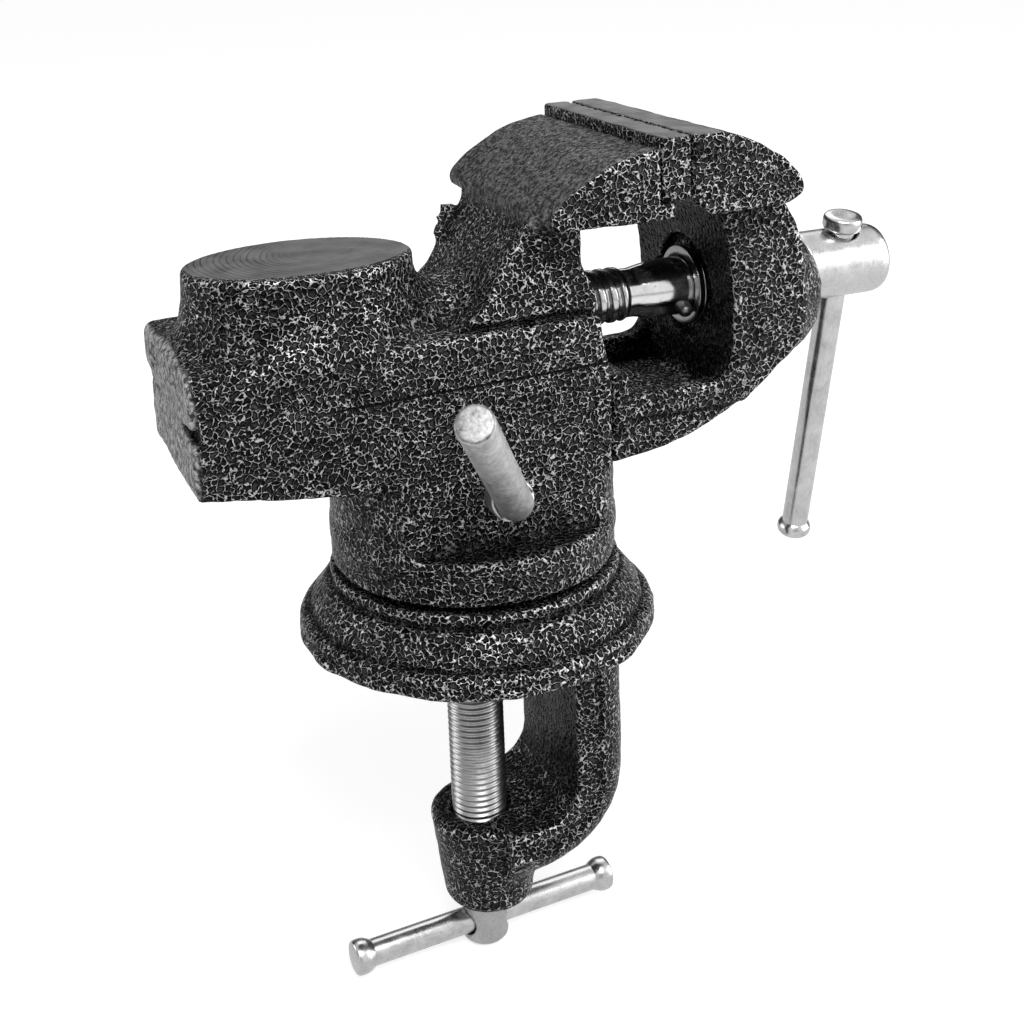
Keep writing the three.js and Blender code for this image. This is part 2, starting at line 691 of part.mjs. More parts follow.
// Plain washer on the spindle, from a place along X
function washer(x) {
  const ring = rodBetween([x, 0, spindleZ], [x + washerThickness, 0, spindleZ], washerRadius, roundSteps);
  const ends = [x - overrun, x + washerThickness + overrun].map((end) => [end, 0, spindleZ]);
  return cut(ring, rodBetween(...ends, barrelRadius + seatGap, roundSteps));
}

const innerWasherX = recessFloorX - seatGap - washerThickness;
const outerWasherX = innerWasherX - seatGap - washerThickness;

// Cross pin that keeps the washers on the spindle; grown by a gap, it cuts its hole
function crossPin(gap, extra) {
  const x = outerWasherX - seatGap - crossPinRadius;
  const half = crossPinLength / 2 + extra;
  const tilt = crossPinTilt * degree;
  const end = (side) => [x, side * half * Math.cos(tilt), spindleZ + side * half * Math.sin(tilt)];
  return rodBetween(end(-1), end(1), crossPinRadius + gap);
}

// Cap swaged on the end of a bar, standing on the origin and open below
function cap(radius, length, barRadius) {
  const bow = capRound * 0.3;
  const body = turnedUp([
    [0, 0], [radius - capRound, 0], [radius, capRound], [radius, length - capRound],
    [radius - bow, length - bow], [radius - capRound, length], [0, length],
  ], smallSteps);
  const wall = barRadius + seatGap;
  const socket = turnedUp([[0, -overrun], [wall, -overrun], [wall, capSocketDepth], [0, capSocketDepth]], smallSteps);
  return cut(body, socket);
}

// Spindle handle: a bar and two caps, in a group that leans as the handle hangs
function addSpindleHandle() {
  const group = new THREE.Group();
  group.position.set(handleX, 0, spindleZ);
  group.rotation.x = lean;
  vise.add(group);
  const capSeat = headRadius + seatGap;
  const lowSeat = capSeat + handleCapLength * 2 - handleLength;
  const inCap = capSocketDepth - seatGap;
  const bar = roundBar(handleRadius, lowSeat - inCap, capSeat + inCap, seatGap);
  addPiece("spindle_handle_bar", bar, zincPlate(), group);
  const form = cap(handleCapRadius, handleCapLength, handleRadius);
  const upper = addPiece("handle_cap_upper", form, zincPlate(), group);
  upper.position.z = capSeat;
  const lower = addPiece("handle_cap_lower", form, zincPlate(), group);
  lower.position.z = lowSeat;
  lower.rotation.x = 2 * quarterTurn;
}

// Clamp screw with a turned-down head below and a neck for the pad above
function clampScrew() {
  const low = bossBottomZ - clampHeadLength;
  const neckTop = padBottomZ + padNeckDepth - seatGap;
  const threadTop = padBottomZ - seatGap;
  const threadLow = bossBottomZ - seatGap;
  const body = turnedUp([
    [0, low], [clampHeadRadius - clampChamfer, low], [clampHeadRadius, low + clampChamfer],
    [clampHeadRadius, threadLow], [clampThreadRadius, threadLow + clampChamfer],
    [clampThreadRadius, threadTop - clampChamfer], [clampThreadRadius - clampChamfer, threadTop],
    [padNeckRadius, threadTop], [padNeckRadius, neckTop], [0, neckTop],
  ]).translate(clampX, 0, 0);
  const reach = clampThreadRadius + overrun;
  const turn = teeTurn * degree;
  const end = (side) => [clampX + side * reach * Math.cos(turn), side * reach * Math.sin(turn), teeZ];
  return cut(body, rodBetween(end(-1), end(1), teeRadius + runGap));
}

// Swivel pad on top of the clamp screw
function clampPad() {
  const cup = padNeckRadius + seatGap;
  return turnedUp([
    [cup, padBottomZ], [padRadius - padRim * 2, padBottomZ], [padRadius, padBottomZ + padRim],
    [padRadius, padTopZ - padRim / 2], [padRadius - padRim / 2, padTopZ], [0, padTopZ],
    [0, padBottomZ + padNeckDepth], [cup, padBottomZ + padNeckDepth], [cup, padBottomZ],
  ]).translate(clampX, 0, 0);
}

// Tee bar of the clamp screw with its two caps, in a group turned about the screw
function addTeeBar() {
  const group = new THREE.Group();
  group.position.set(clampX, 0, teeZ);
  group.rotation.z = teeTurn * degree;
  vise.add(group);
  const seat = teeLength / 2 - teeCapLength;
  const tip = seat + capSocketDepth - seatGap;
  addPiece("clamp_tee_bar", roundBar(teeRadius, -tip, tip, seatGap).rotateY(quarterTurn), zincPlate(), group);
  [["right", 1], ["left", -1]].forEach(([name, side]) => {
    const end = addPiece(`tee_bar_cap_${name}`, cap(teeCapRadius, teeCapLength, teeRadius), zincPlate(), group);
    end.position.x = side * seat;
    end.rotation.y = side * quarterTurn;
  });
}

const lockHeadBackY = -bodyHalfWidth - seatGap;
const lockHeadFrontY = lockHeadBackY - lockHeadLength;

// A point on the lever rod's axis, at a distance from the face of the lock screw's head
function onLockRod(distance) {
  const across = Math.sin(lockRodLean * degree);
  const turn = lockRodTurn * degree;
  const along = new THREE.Vector3(-Math.sin(turn) * across, -Math.cos(lockRodLean * degree), Math.cos(turn) * across);
  return new THREE.Vector3(lockAxisX, lockHeadFrontY, lockZ).addScaledVector(along, distance).toArray();
}

// Lock screw: round head with an angled hole for the lever, shank, and a cone that enters the post's groove
function lockScrew() {
  const tipY = lockGrooveDepth - postRadius - seatGap * 2;
  const cone = lockShankRadius - seatGap;
  const bow = lockHeadLength * 0.25;
  const profile = [
    [0, tipY], [lockShankRadius - cone, tipY], [lockShankRadius, tipY - cone], [lockShankRadius, lockHeadBackY],
    [lockHeadRadius, lockHeadBackY], [lockHeadRadius, lockHeadFrontY + bow],
    [lockHeadRadius * 0.8, lockHeadFrontY + bow * 0.2], [lockHeadRadius * 0.55, lockHeadFrontY], [0, lockHeadFrontY],
  ].map(([r, y]) => [r, -y]);
  const body = turnedUp(profile, smallSteps).rotateX(quarterTurn).translate(lockAxisX, 0, lockZ);
  const holeStart = onLockRod(-lockRodSeat - seatGap);
  return cut(body, rodBetween(holeStart, onLockRod(lockHeadLength), lockRodRadius + seatGap));
}

addPiece("clamp_base_casting", clampBase(), blackPaint());
addPiece("vise_body_casting", viseBody(), blackPaint());
addPiece("fixed_jaw_plate", jawPlate(), groundSteel());
plateScrewSides.forEach(([side, y]) => addPiece(`jaw_plate_screw_${side}`, plateScrew(y), zincPlate()));
addPiece("spindle_nut", spindleNut(), darkSteel());
addPiece("moving_jaw_casting", movingJaw(), blackPaint());
addPiece("spindle_screw", spindle(), darkSteel());
addPiece("spindle_washer_inner", washer(innerWasherX), darkSteel());
addPiece("spindle_washer_outer", washer(outerWasherX), darkSteel());
addPiece("spindle_cross_pin", crossPin(0, 0), darkSteel());
addSpindleHandle();
addPiece("clamp_screw", clampScrew(), zincPlate());
addPiece("clamp_pad", clampPad(), zincPlate());
addTeeBar();
addPiece("lock_screw", lockScrew(), zincPlate());
addPiece("lock_lever_rod", rodBetween(onLockRod(-lockRodSeat), onLockRod(lockRodLength), lockRodRadius), zincPlate());

export default vise;
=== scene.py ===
"""The dressed model of a clamp-on swivel vise.

The castings are worked out as distance fields, so that their parts run into each other with cast fillets.
The turned and drawn pieces are surfaces on a grid. Sizes are in millimetres and meshes in metres.
"""

import logging
import math
from dataclasses import dataclass, field
from enum import Enum
from functools import reduce

import bpy
import numpy as np
from mathutils import Matrix, Vector

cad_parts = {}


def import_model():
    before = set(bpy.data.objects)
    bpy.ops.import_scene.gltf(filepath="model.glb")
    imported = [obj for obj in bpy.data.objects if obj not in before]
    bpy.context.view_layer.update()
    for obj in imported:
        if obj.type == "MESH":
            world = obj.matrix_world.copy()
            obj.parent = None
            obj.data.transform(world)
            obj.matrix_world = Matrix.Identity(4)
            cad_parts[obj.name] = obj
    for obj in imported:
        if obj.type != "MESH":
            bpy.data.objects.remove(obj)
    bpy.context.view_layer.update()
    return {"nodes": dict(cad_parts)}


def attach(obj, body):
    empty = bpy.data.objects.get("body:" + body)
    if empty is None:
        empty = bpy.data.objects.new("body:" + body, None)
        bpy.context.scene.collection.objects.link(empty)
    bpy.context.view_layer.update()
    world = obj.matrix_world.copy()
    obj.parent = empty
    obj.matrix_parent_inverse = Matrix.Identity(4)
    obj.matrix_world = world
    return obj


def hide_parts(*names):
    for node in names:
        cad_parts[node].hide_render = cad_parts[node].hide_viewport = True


LOG = logging.getLogger("vise")
MM = 0.001
WIDEST = 110
Pair = tuple[float, float]
Point = tuple[float, float, float]
Array = np.ndarray
Node = bpy.types.Node
Socket = bpy.types.NodeSocket
Sockets = bpy.types.bpy_prop_collection


class Body(Enum):
    """The bodies of the frame that pieces ride on."""

    BASE = "clamp_base"
    VISE = "vise_body"
    JAW = "moving_jaw"
    SPINDLE = "spindle"
    HANDLE = "spindle_handle"
    PAD = "clamp_pad"
    CLAMP = "clamp_screw"
    TEE = "tee_bar"
    LOCK = "swivel_lock"


# Surfaces on a grid


@dataclass
class Surface:
    """A mesh in the making: corners in millimetres, with four-sided and three-sided faces.

    The skin holds named values, one for each corner, that finishes read.
    """

    corners: Array
    quads: Array
    triangles: Array = field(default_factory=lambda: np.zeros((0, 3), int))
    skin: dict[str, Array] = field(default_factory=dict)

    def placed(self, turn: Array, offset: Point) -> "Surface":
        """Returns the surface and its skin, turned by a matrix of three rows and then moved by an offset."""
        corners = self.corners @ np.asarray(turn).T + np.asarray(offset)
        return Surface(corners, self.quads, self.triangles, self.skin)

    def calmed(self, where: Array, share: float = 1.0) -> None:
        """Raises the skin's nook shade, the painted shade of a hollow, to a share at the corners where a
        condition holds.
        """
        self.skin["nook"] = np.maximum(self.skin["nook"], share * where)

    def mesh_object(self, name: str) -> bpy.types.Object:
        """Puts the surface into a smooth-shaded mesh object that sits at the origin.

        Args:
            name: name of the object and its mesh.

        Returns:
            The new object, linked into the scene.
        """
        mesh = bpy.data.meshes.new(name)
        loops = np.concatenate([self.quads.ravel(), self.triangles.ravel()]).astype(np.int32)
        sides = np.concatenate([np.full(len(self.quads), 4), np.full(len(self.triangles), 3)])
        starts = np.concatenate([[0], np.cumsum(sides)[:-1]]).astype(np.int32)
        mesh.vertices.add(len(self.corners))
        mesh.vertices.foreach_set("co", (self.corners * MM).astype(np.float32).ravel())
        mesh.loops.add(len(loops))
        mesh.loops.foreach_set("vertex_index", loops)
        mesh.polygons.add(len(sides))
        mesh.polygons.foreach_set("loop_start", starts)
        mesh.polygons.foreach_set("use_smooth", np.ones(len(sides), bool))
        mesh.update(calc_edges=True)
        mesh.validate()
        for label, values in self.skin.items():
            mesh.attributes.new(label, "FLOAT", "POINT").data.foreach_set("value", values.astype(np.float32))
        obj = bpy.data.objects.new(name, mesh)
        bpy.context.scene.collection.objects.link(obj)
        return obj


def held(values: Array) -> Array:
    """Returns values held between 0 and 1."""
    return np.clip(values, 0, 1)


def between(values: Array, low: float, high: float) -> Array:
    """Returns where values lie between two others."""
    return (values > low) & (values < high)


def facing(direction: Point) -> Array:
    """Returns a turn that takes the Z axis to a direction."""
    return np.array(Vector(direction).to_track_quat("Z", "Y").to_matrix())


def ring_grid(radius: Array, height: Array) -> Surface:
    """Closes rings about the Z axis into a surface with a pole at each end.

    A corner of row i and column j stands at the angle 2 pi j / columns, at its own radius and height.

    Args:
        radius: radii, one row for each ring and one column for each step round.
        height: heights, in the same form; the rows rise or fall so that faces point outwards going up.

    Returns:
        The closed surface.
    """
    rows, columns = radius.shape
    angle = np.arange(columns) * 2 * math.pi / columns
    rings = np.stack([radius * np.cos(angle), radius * np.sin(angle), height], -1).reshape(-1, 3)
    row, column = np.meshgrid(np.arange(rows - 1), np.arange(columns), indexing="ij")
    here, right = row * columns + column, row * columns + (column + 1) % columns
    quads = np.stack([here, right, right + columns, here + columns], -1).reshape(-1, 4)
    low, high = rows * columns, rows * columns + 1
    step, ahead = np.arange(columns), (np.arange(columns) + 1) % columns
    last = (rows - 1) * columns
    foot = np.stack([ahead, step, np.full(columns, low)], -1)
    head = np.stack([last + step, last + ahead, np.full(columns, high)], -1)
    poles = np.array([[0, 0, height[0].mean()], [0, 0, height[-1].mean()]])
    return Surface(np.concatenate([rings, poles]), quads, np.concatenate([foot, head]))


def softened(outline: Array, reach: float, steps: int = 3, closed: bool = True) -> Array:
    """Rounds the corners of an outline.

    Each corner gives way to points on a curve of second degree, which starts and ends at the given reach
    before and after the corner, or at 45% of the shorter side there.

    Args:
        outline: pairs, one row for each corner.
        reach: distance from a corner at which its rounding starts.
        steps: number of stretches in each rounding.
        closed: whether the last corner joins the first; the ends of an open outline stay.

    Returns:
        The longer list of pairs.
    """
    outline = np.asarray(outline, float)
    before, after = np.roll(outline, 1, 0) - outline, np.roll(outline, -1, 0) - outline
    back, ahead = np.linalg.norm(before, axis=1), np.linalg.norm(after, axis=1)
    cut = np.minimum(reach, 0.45 * np.minimum(back, ahead))[:, None]
    start, end = outline + before / back[:, None] * cut, outline + after / ahead[:, None] * cut
    t = np.linspace(0, 1, steps + 1)[None, :, None]
    curves = (1 - t) ** 2 * start[:, None] + 2 * t * (1 - t) * outline[:, None] + t * t * end[:, None]
    if closed:
        return curves.reshape(-1, 2)
    return np.concatenate([outline[:1], curves[1:-1].reshape(-1, 2), outline[-1:]])


def turned(profile: list[Pair], steps: int = 96, soft: float = 0.3, waver: float = 0.0,
           seed: int = 1) -> Surface:
    """A round piece about the Z axis, from pairs of radius and height that rise.

    Args:
        profile: the pairs, open at both ends, where a pole closes the piece.
        steps: number of steps round.
        soft: rounding of the profile's corners.
        waver: how much the radius wanders round the piece, for swaged ends.
        seed: start of the wander.

    Returns:
        The closed surface.
    """
    points = softened(np.array(profile, float), soft, closed=False)
    angle = np.arange(steps) * 2 * math.pi / steps
    draw = np.random.default_rng(seed)
    wander = sum(draw.uniform(0.3, 1) * np.sin(n * angle + draw.uniform(0, 6)) / n for n in (2, 3, 5, 7))
    radius = points[:, :1] * (1 + waver * wander[None, :])
    return ring_grid(radius, np.repeat(points[:, 1:], steps, 1))


@dataclass(frozen=True)
class Thread:
    """A screw thread: crest radius, depth and pitch, between two places on its axis."""

    crest: float
    depth: float
    pitch: float
    start: float
    end: float
    sharpness: float = 1.0
    run_out: float = 1.0

    def surface(self, steps: int = 64, rows_per_pitch: int = 10) -> Surface:
        """Returns the thread about the Z axis.

        The radius is the crest less the depth times a wave of the height over the pitch plus the angle over
        a full turn, so that the wave climbs one pitch a turn. Near both ends it sinks to the core.
        """
        rows = int((self.end - self.start) / self.pitch * rows_per_pitch)
        height = np.linspace(self.start, self.end, rows)[:, None]
        angle = np.arange(steps)[None, :] * 2 * math.pi / steps
        phase = height / self.pitch * 2 * math.pi - angle
        wave = (0.5 - 0.5 * np.cos(phase)) ** self.sharpness
        inset = np.minimum(height - self.start, self.end - height) / self.run_out
        near_end = self.depth * held(1 - inset) ** 2
        radius = self.crest - np.maximum(self.depth * wave, near_end + 0 * wave)
        return ring_grid(radius, np.repeat(height, steps, 1))


# Distance fields


@dataclass
class Grid:
    """A box of evenly spaced sample points, on which a casting's distance field is worked out."""

    low: Point
    high: Point
    step: float

    def __post_init__(self) -> None:
        """Makes the three axes of sample points, each ready to spread over the other two."""
        axes = [np.arange(low, high + self.step, self.step, dtype=np.float32)
                for low, high in zip(self.low, self.high)]
        self.x, self.y, self.z = axes[0][:, None, None], axes[1][None, :, None], axes[2][None, None, :]
        self.origin = np.array([axis[0] for axis in axes])


def outline_distance(outline: Array, u: Array, v: Array) -> Array:
    """Distance from points to a closed outline, less than nothing inside it.

    The nearest point of each side is the foot of the perpendicular, held between the side's ends, and the
    sign changes each time that a level ray from the point crosses a side.

    Args:
        outline: pairs, one row for each corner.
        u: first coordinate of the points.
        v: second coordinate of the points.

    Returns:
        The distances, in the shape that u and v spread to.
    """
    shape = np.broadcast_shapes(u.shape, v.shape)
    nearest, inside = np.full(shape, np.inf, np.float32), np.zeros(shape, bool)
    for (u0, v0), (u1, v1) in zip(outline, np.roll(outline, -1, 0)):
        du, dv = u1 - u0, v1 - v0
        along = held(((u - u0) * du + (v - v0) * dv) / (du * du + dv * dv + 1e-12))
        nearest = np.minimum(nearest, (u - u0 - along * du) ** 2 + (v - v0 - along * dv) ** 2)
        crossing = ((v0 <= v) != (v1 <= v)) & (u < u0 + (v - v0) * du / (dv if dv else 1))
        inside ^= np.broadcast_to(crossing, shape)
    return np.where(inside, -1, 1) * np.sqrt(nearest)


def both(first: Array, second: Array, edge: float) -> Array:
    """The space that two fields share, with the edge between them rounded to a radius."""
    first, second = first + edge, second + edge
    corner = np.hypot(np.maximum(first, 0), np.maximum(second, 0))
    return corner + np.minimum(np.maximum(first, second), 0) - edge


def filleted(first: Array, second: Array, reach: float) -> Array:
    """Joins two fields: the lesser of both, lowered by a quarter of the reach where they are equal."""
    near = np.maximum(reach - np.abs(first - second), 0) / reach
    return np.minimum(first, second) - near * near * reach * 0.25


def carved(whole: Array, cutter: Array, reach: float) -> Array:
    """Takes one field out of another, with the rim of the cut rounded over a reach."""
    return -filleted(-whole, cutter, reach)


def slab(grid: Grid, outline: list[Pair], half: float, edge: float, soft: float = 0.0) -> Array:
    """A side outline in X and Z that is carried to the same width on both sides of the middle plane."""
    rounded = softened(np.array(outline, float), soft) if soft else np.array(outline, float)
    return both(outline_distance(rounded, grid.x, grid.z), np.abs(grid.y) - half, edge)


def block(grid: Grid, low: Point, high: Point, edge: float) -> Array:
    """A block between two corners, with rounded edges."""
    outside = []
    for axis, lo, hi in zip((grid.x, grid.y, grid.z), low, high):
        outside.append(np.abs(axis - (lo + hi) / 2) - (hi - lo) / 2 + edge)
    far = np.sqrt(sum(np.maximum(side, 0) ** 2 for side in outside))
    inner = np.minimum(np.maximum(np.maximum(outside[0], outside[1]), outside[2]), 0)
    return far + inner - edge


def rod(grid: Grid, start: Point, end: Point, radius: float, edge: float = 0.0) -> Array:
    """A round bar between two points: the distance from its axis less its radius, within its length."""
    start, end = np.array(start), np.array(end)
    middle, half = (start + end) / 2, np.linalg.norm(end - start) / 2
    way = (end - start) / (2 * half)
    away = [axis - m for axis, m in zip((grid.x, grid.y, grid.z), middle)]
    along = sum(a * w for a, w in zip(away, way))
    across = np.sqrt(np.maximum(sum(a * a for a in away) - along * along, 0))
    return both(across - radius, np.abs(along) - half, edge)


def lathe_up(grid: Grid, profile: list[Pair], middle: Pair, squeeze: float = 1.0, soft: float = 0.0) -> Array:
    """A round or oval shape about an upright axis, from pairs of radius and height.

    The field of the profile and its mirror image is worked out once on a table of radius and height, and
    each sample point reads it at its own distance from the axis, with Y widened by the squeeze.
    """
    table, radii = _profile_table(profile, grid.z.ravel(), grid.step, soft)
    away = np.hypot(grid.x - middle[0], (grid.y - middle[1]) / squeeze)[:, :, 0]
    place, share = _table_place(away, radii)
    return table[place] * (1 - share[..., None]) + table[place + 1] * share[..., None]


def lathe_along(grid: Grid, profile: list[Pair], middle: Pair, squeeze: float = 1.0,
                soft: float = 0.0) -> Array:
    """The same about an axis along X, from pairs of radius and place, where middle is in Y and Z."""
    table, radii = _profile_table(profile, grid.x.ravel(), grid.step, soft)
    away = np.hypot((grid.y - middle[0]) / squeeze, grid.z - middle[1])[0]
    place, share = _table_place(away, radii)
    return table[place].transpose(2, 0, 1) * (1 - share) + table[place + 1].transpose(2, 0, 1) * share


def _profile_table(profile: list[Pair], heights: Array, step: float, soft: float) -> tuple[Array, Array]:
    """Distances to a profile and its mirror image, on rows of radius and columns of height."""
    points = np.array(profile, float)
    if soft:
        points = softened(points, soft, closed=False)
    outline = np.concatenate([points, points[::-1] * (-1, 1)])
    radii = np.arange(0, WIDEST, step / 2)
    return outline_distance(outline, radii[:, None], heights[None, :]).astype(np.float32), radii


def _table_place(away: Array, radii: Array) -> tuple[Array, Array]:
    """Row of the table just below each distance, and the share of the way to the next row."""
    place = np.clip(away / radii[1], 0, len(radii) - 2)
    row = place.astype(int)
    return row, (place - row).astype(np.float32)


def lumps(grid: Grid, wavelength: float, height: float, seed: int) -> Array:
    """The uneven skin of a sand casting: a sum of nine waves in directions drawn at random."""
    draw = np.random.default_rng(seed)
    total = 0.0
    for _ in range(9):
        way = draw.normal(size=3)
        way *= 2 * math.pi / (wavelength * draw.uniform(0.6, 1.7)) / np.linalg.norm(way)
        total = total + np.sin(grid.x * way[0] + grid.y * way[1] + grid.z * way[2] + draw.uniform(0, 6.28))
    return (total * height / 3).astype(np.float32)


class FieldMesher:
    """Turns a distance field into a surface with one corner in each cell that the surface crosses.

    The corner is the point that lies best on the planes that touch the surface where it crosses the cell's
    edges, so that edges stay crisp; a small pull keeps it near the middle of those crossings. The surface
    gets a skin with two values, edge and nook shade, from how far the casting closes in on each corner within
    a near and a wide reach; the paint turns them into a painted highlight on outer edges and painted shade in
    hollows and inner corners.
    """

    PULL, MOST_SHIFT = 0.06, 0.8
    NEAR, WIDE = 1.3, 4.5
    PARTS = ((0, 0), (1, 1), (2, 2), (0, 1), (0, 2), (1, 2))

    def __init__(self, grid: Grid, values: Array) -> None:
        """Finds the cells that the surface crosses and numbers them."""
        self.grid = grid
        self.values = values.astype(np.float32)
        self.inside = self.values < 0
        ends = np.array(values.shape) - 1
        count = sum(
            self.inside[tuple(slice(first, first + end) for first, end in zip(corner, ends))].astype(np.int8)
            for corner in np.ndindex(2, 2, 2)
        )
        crossed = (count > 0) & (count < 8)
        self.total = int(crossed.sum())
        self.number = np.full(crossed.shape, -1, np.int64)
        self.number[crossed] = np.arange(self.total)
        self.slope = np.gradient(self.values)

    def _crossings(self, axis: int) -> tuple[Array, Array, Array, Array]:
        """Grid edges that the surface crosses along an axis.

        Returns:
            The edges' places, the points of crossing, the normals there, and whether each edge starts inside.
        """
        ahead = np.take(self.inside, range(1, self.inside.shape[axis]), axis)
        here = np.take(self.inside, range(self.inside.shape[axis] - 1), axis)
        place = np.argwhere(here != ahead)
        step = np.eye(3, dtype=int)[axis]
        near, far = tuple(place.T), tuple((place + step).T)
        share = self.values[near] / (self.values[near] - self.values[far])
        point = place + share[:, None] * step
        normal = np.stack([s[near] * (1 - share) + s[far] * share for s in self.slope], -1)
        normal /= np.linalg.norm(normal, axis=1, keepdims=True) + 1e-9
        return place, point, normal, self.inside[near]

    def surface(self) -> Surface:
        """Returns the closed surface, with its faces pointing outwards."""
        terms = np.zeros((self.total, 13))
        quads = []
        for axis in range(3):
            place, point, normal, starts_inside = self._crossings(axis)
            first, second = np.eye(3, dtype=int)[(axis + 1) % 3], np.eye(3, dtype=int)[(axis + 2) % 3]
            around = [place - first - second, place - second, place, place - first]
            cells = np.stack([self.number[tuple(cell.T)] for cell in around], -1)
            quads.append(np.where(starts_inside[:, None], cells, cells[:, ::-1]))
            flat = (normal * point).sum(1)
            columns = [normal[:, a] * normal[:, b] for a, b in self.PARTS]
            columns += [normal[:, a] * flat for a in range(3)] + [*point.T, np.ones(len(point))]
            for corner in range(4):
                for slot, column in enumerate(columns):
                    terms[:, slot] += np.bincount(cells[:, corner], column, self.total)
        middle = terms[:, 9:12] / terms[:, 12:]
        matrix = np.empty((self.total, 3, 3))
        for slot, (a, b) in enumerate(self.PARTS):
            matrix[:, a, b] = matrix[:, b, a] = terms[:, slot]
        rest = terms[:, 6:9] - (matrix @ middle[:, :, None])[:, :, 0]
        shift = np.linalg.solve(matrix + self.PULL * np.eye(3), rest[:, :, None])[:, :, 0]
        corners = middle + np.clip(shift, -self.MOST_SHIFT, self.MOST_SHIFT)
        near, wide = self.closeness(corners, self.NEAR), self.closeness(corners, self.WIDE)
        # Skin values for painted light: the edge marks outer edges for a painted highlight, and the second
        # marks hollows and inner corners for painted shade.
        skin = {
            "edge": held((-near - 0.1) / 0.25),
            "nook": held(np.maximum((wide - 0.08) / 0.27, (near - 0.05) / 0.12)),
        }
        return Surface(self.grid.origin + corners * self.grid.step, np.concatenate(quads), skin=skin)

    def closeness(self, corners: Array, reach: float) -> Array:
        """How far the casting closes in on points of its skin.

        The field, in cells and held between -1 and 1, is averaged over a cube about each point. The mean
        is nothing on a flat face, about half in an inner corner, and less than nothing on an outer edge.

        Args:
            corners: the points, in cells.
            reach: half the side of the cube, in millimetres.

        Returns:
            One value for each point.
        """
        cells = max(1, round(reach / self.grid.step))
        mean = np.clip(-self.values / self.grid.step, -1, 1)
        for axis in range(3):
            ends = [(0, 0)] * 3
            ends[axis] = (cells + 1, cells)
            total = np.moveaxis(np.cumsum(np.pad(mean, ends, mode="edge"), axis=axis, dtype=float), axis, 0)
            span = 2 * cells + 1
            mean = np.moveaxis((total[span:] - total[:-span]) / span, 0, axis)
        base = np.clip(np.floor(corners).astype(int), 0, np.array(mean.shape) - 2)
        share = corners - base
        result = np.zeros(len(corners))
        for corner in np.ndindex(2, 2, 2):
            weight = np.prod(np.where(corner, share, 1 - share), axis=1)
            result += weight * mean[tuple((base + corner).T)]
        return result


def draft(step: float) -> float:
    """Step of the sample points, as given."""
    return step


# Finishes


class Wiring:
    """Adds shader nodes to a tree and joins them, a line each."""

    def __init__(self, tree: bpy.types.NodeTree) -> None:
        """Keeps the tree that the nodes go into."""
        self.tree = tree

    def feed(self, socket: Socket, value: object) -> None:
        """Links a socket to an output, or sets its plain value."""
        if isinstance(value, Socket):
            self.tree.links.new(value, socket)
        elif value is not None:
            socket.default_value = value

    def node(self, kind: str, **settings: object) -> Node:
        """Adds a node of a kind and sets its own options."""
        made = self.tree.nodes.new(kind)
        for name, value in settings.items():
            setattr(made, name, value)
        return made

    def filled(self, kind: str, values: dict[str | int, object], **settings: object) -> Node:
        """Adds a node, sets its options and feeds its inputs by name or place."""
        made = self.node(kind, **settings)
        for name, value in values.items():
            self.feed(made.inputs[name], value)
        return made

    def math(self, operation: str, *values: object, clamp: bool = False) -> Socket:
        """Returns the result of a sum on up to three numbers."""
        inputs = dict(enumerate(values))
        return self.filled("ShaderNodeMath", inputs, operation=operation, use_clamp=clamp).outputs[0]

    def times(self, *values: object, clamp: bool = False) -> Socket:
        """Returns the product of two or more numbers, held between 0 and 1 if it is clamped."""
        first = self.times(*values[:-1]) if values[2:] else values[0]
        return self.math("MULTIPLY", first, values[-1], clamp=clamp)

    def plus(self, *values: object, clamp: bool = False) -> Socket:
        """Returns the sum of two or more numbers, held between 0 and 1 if it is clamped."""
        first = self.plus(*values[:-1]) if values[2:] else values[0]
        return self.math("ADD", first, values[-1], clamp=clamp)

    def less(self, first: object, second: object) -> Socket:
        """Returns the first number less the second."""
        return self.math("SUBTRACT", first, second)

    def vector(self, operation: str, first: object, second: object = None) -> Socket:
        """Returns the result of a sum on vectors: a number for a length, else a vector."""
        inputs = {0: first, "Scale" if operation == "SCALE" else 1: second}
        made = self.filled("ShaderNodeVectorMath", inputs, operation=operation)
        return made.outputs["Value" if operation == "LENGTH" else "Vector"]

    def split(self, vector: Socket) -> list[Socket]:
        """Returns the three numbers of a vector."""
        return list(self.filled("ShaderNodeSeparateXYZ", {0: vector}).outputs)

    def joined(self, x: object, y: object, z: object) -> Socket:
        """Returns a vector made of three numbers."""
        return self.filled("ShaderNodeCombineXYZ", {0: x, 1: y, 2: z}).outputs[0]

    def ranged(self, value: object, low: object, high: object, to: Pair = (0.0, 1.0)) -> Socket:
        """Returns a value carried smoothly from one range to another and held at its ends."""
        inputs = {"Value": value, "From Min": low, "From Max": high, "To Min": to[0], "To Max": to[1]}
        return self.filled("ShaderNodeMapRange", inputs, interpolation_type="SMOOTHSTEP").outputs[0]

    def noise(self, place: object, scale: float, detail: float = 2.0, rough: float = 0.5,
              colour: bool = False) -> Socket:
        """Returns noise at a scale, in waves to the millimetre: a number, or a colour."""
        inputs = {"Vector": place, "Scale": scale, "Detail": detail, "Roughness": rough}
        return self.filled("ShaderNodeTexNoise", inputs).outputs[int(colour)]

    def mixed(self, share: object, first: object, second: object, kind: str = "FLOAT") -> Socket:
        """Returns a mix of two numbers, or of two colours if the kind is RGBA."""
        one, two, result = {"FLOAT": (2, 3, 0), "RGBA": (6, 7, 2)}[kind]
        inputs = {0: share, one: first, two: second}
        return self.filled("ShaderNodeMix", inputs, data_type=kind).outputs[result]

    def place(self) -> Socket:
        """Returns the object's own coordinates, in millimetres."""
        return self.vector("SCALE", self.node("ShaderNodeTexCoord").outputs["Object"], 1 / MM)


SOCKETS = {"vector": "NodeSocketVector", "number": "NodeSocketFloat", "colour": "NodeSocketColor"}
LOOK = {"Color": "colour", "Roughness": "number", "Height": "number", "Metal": "number"}


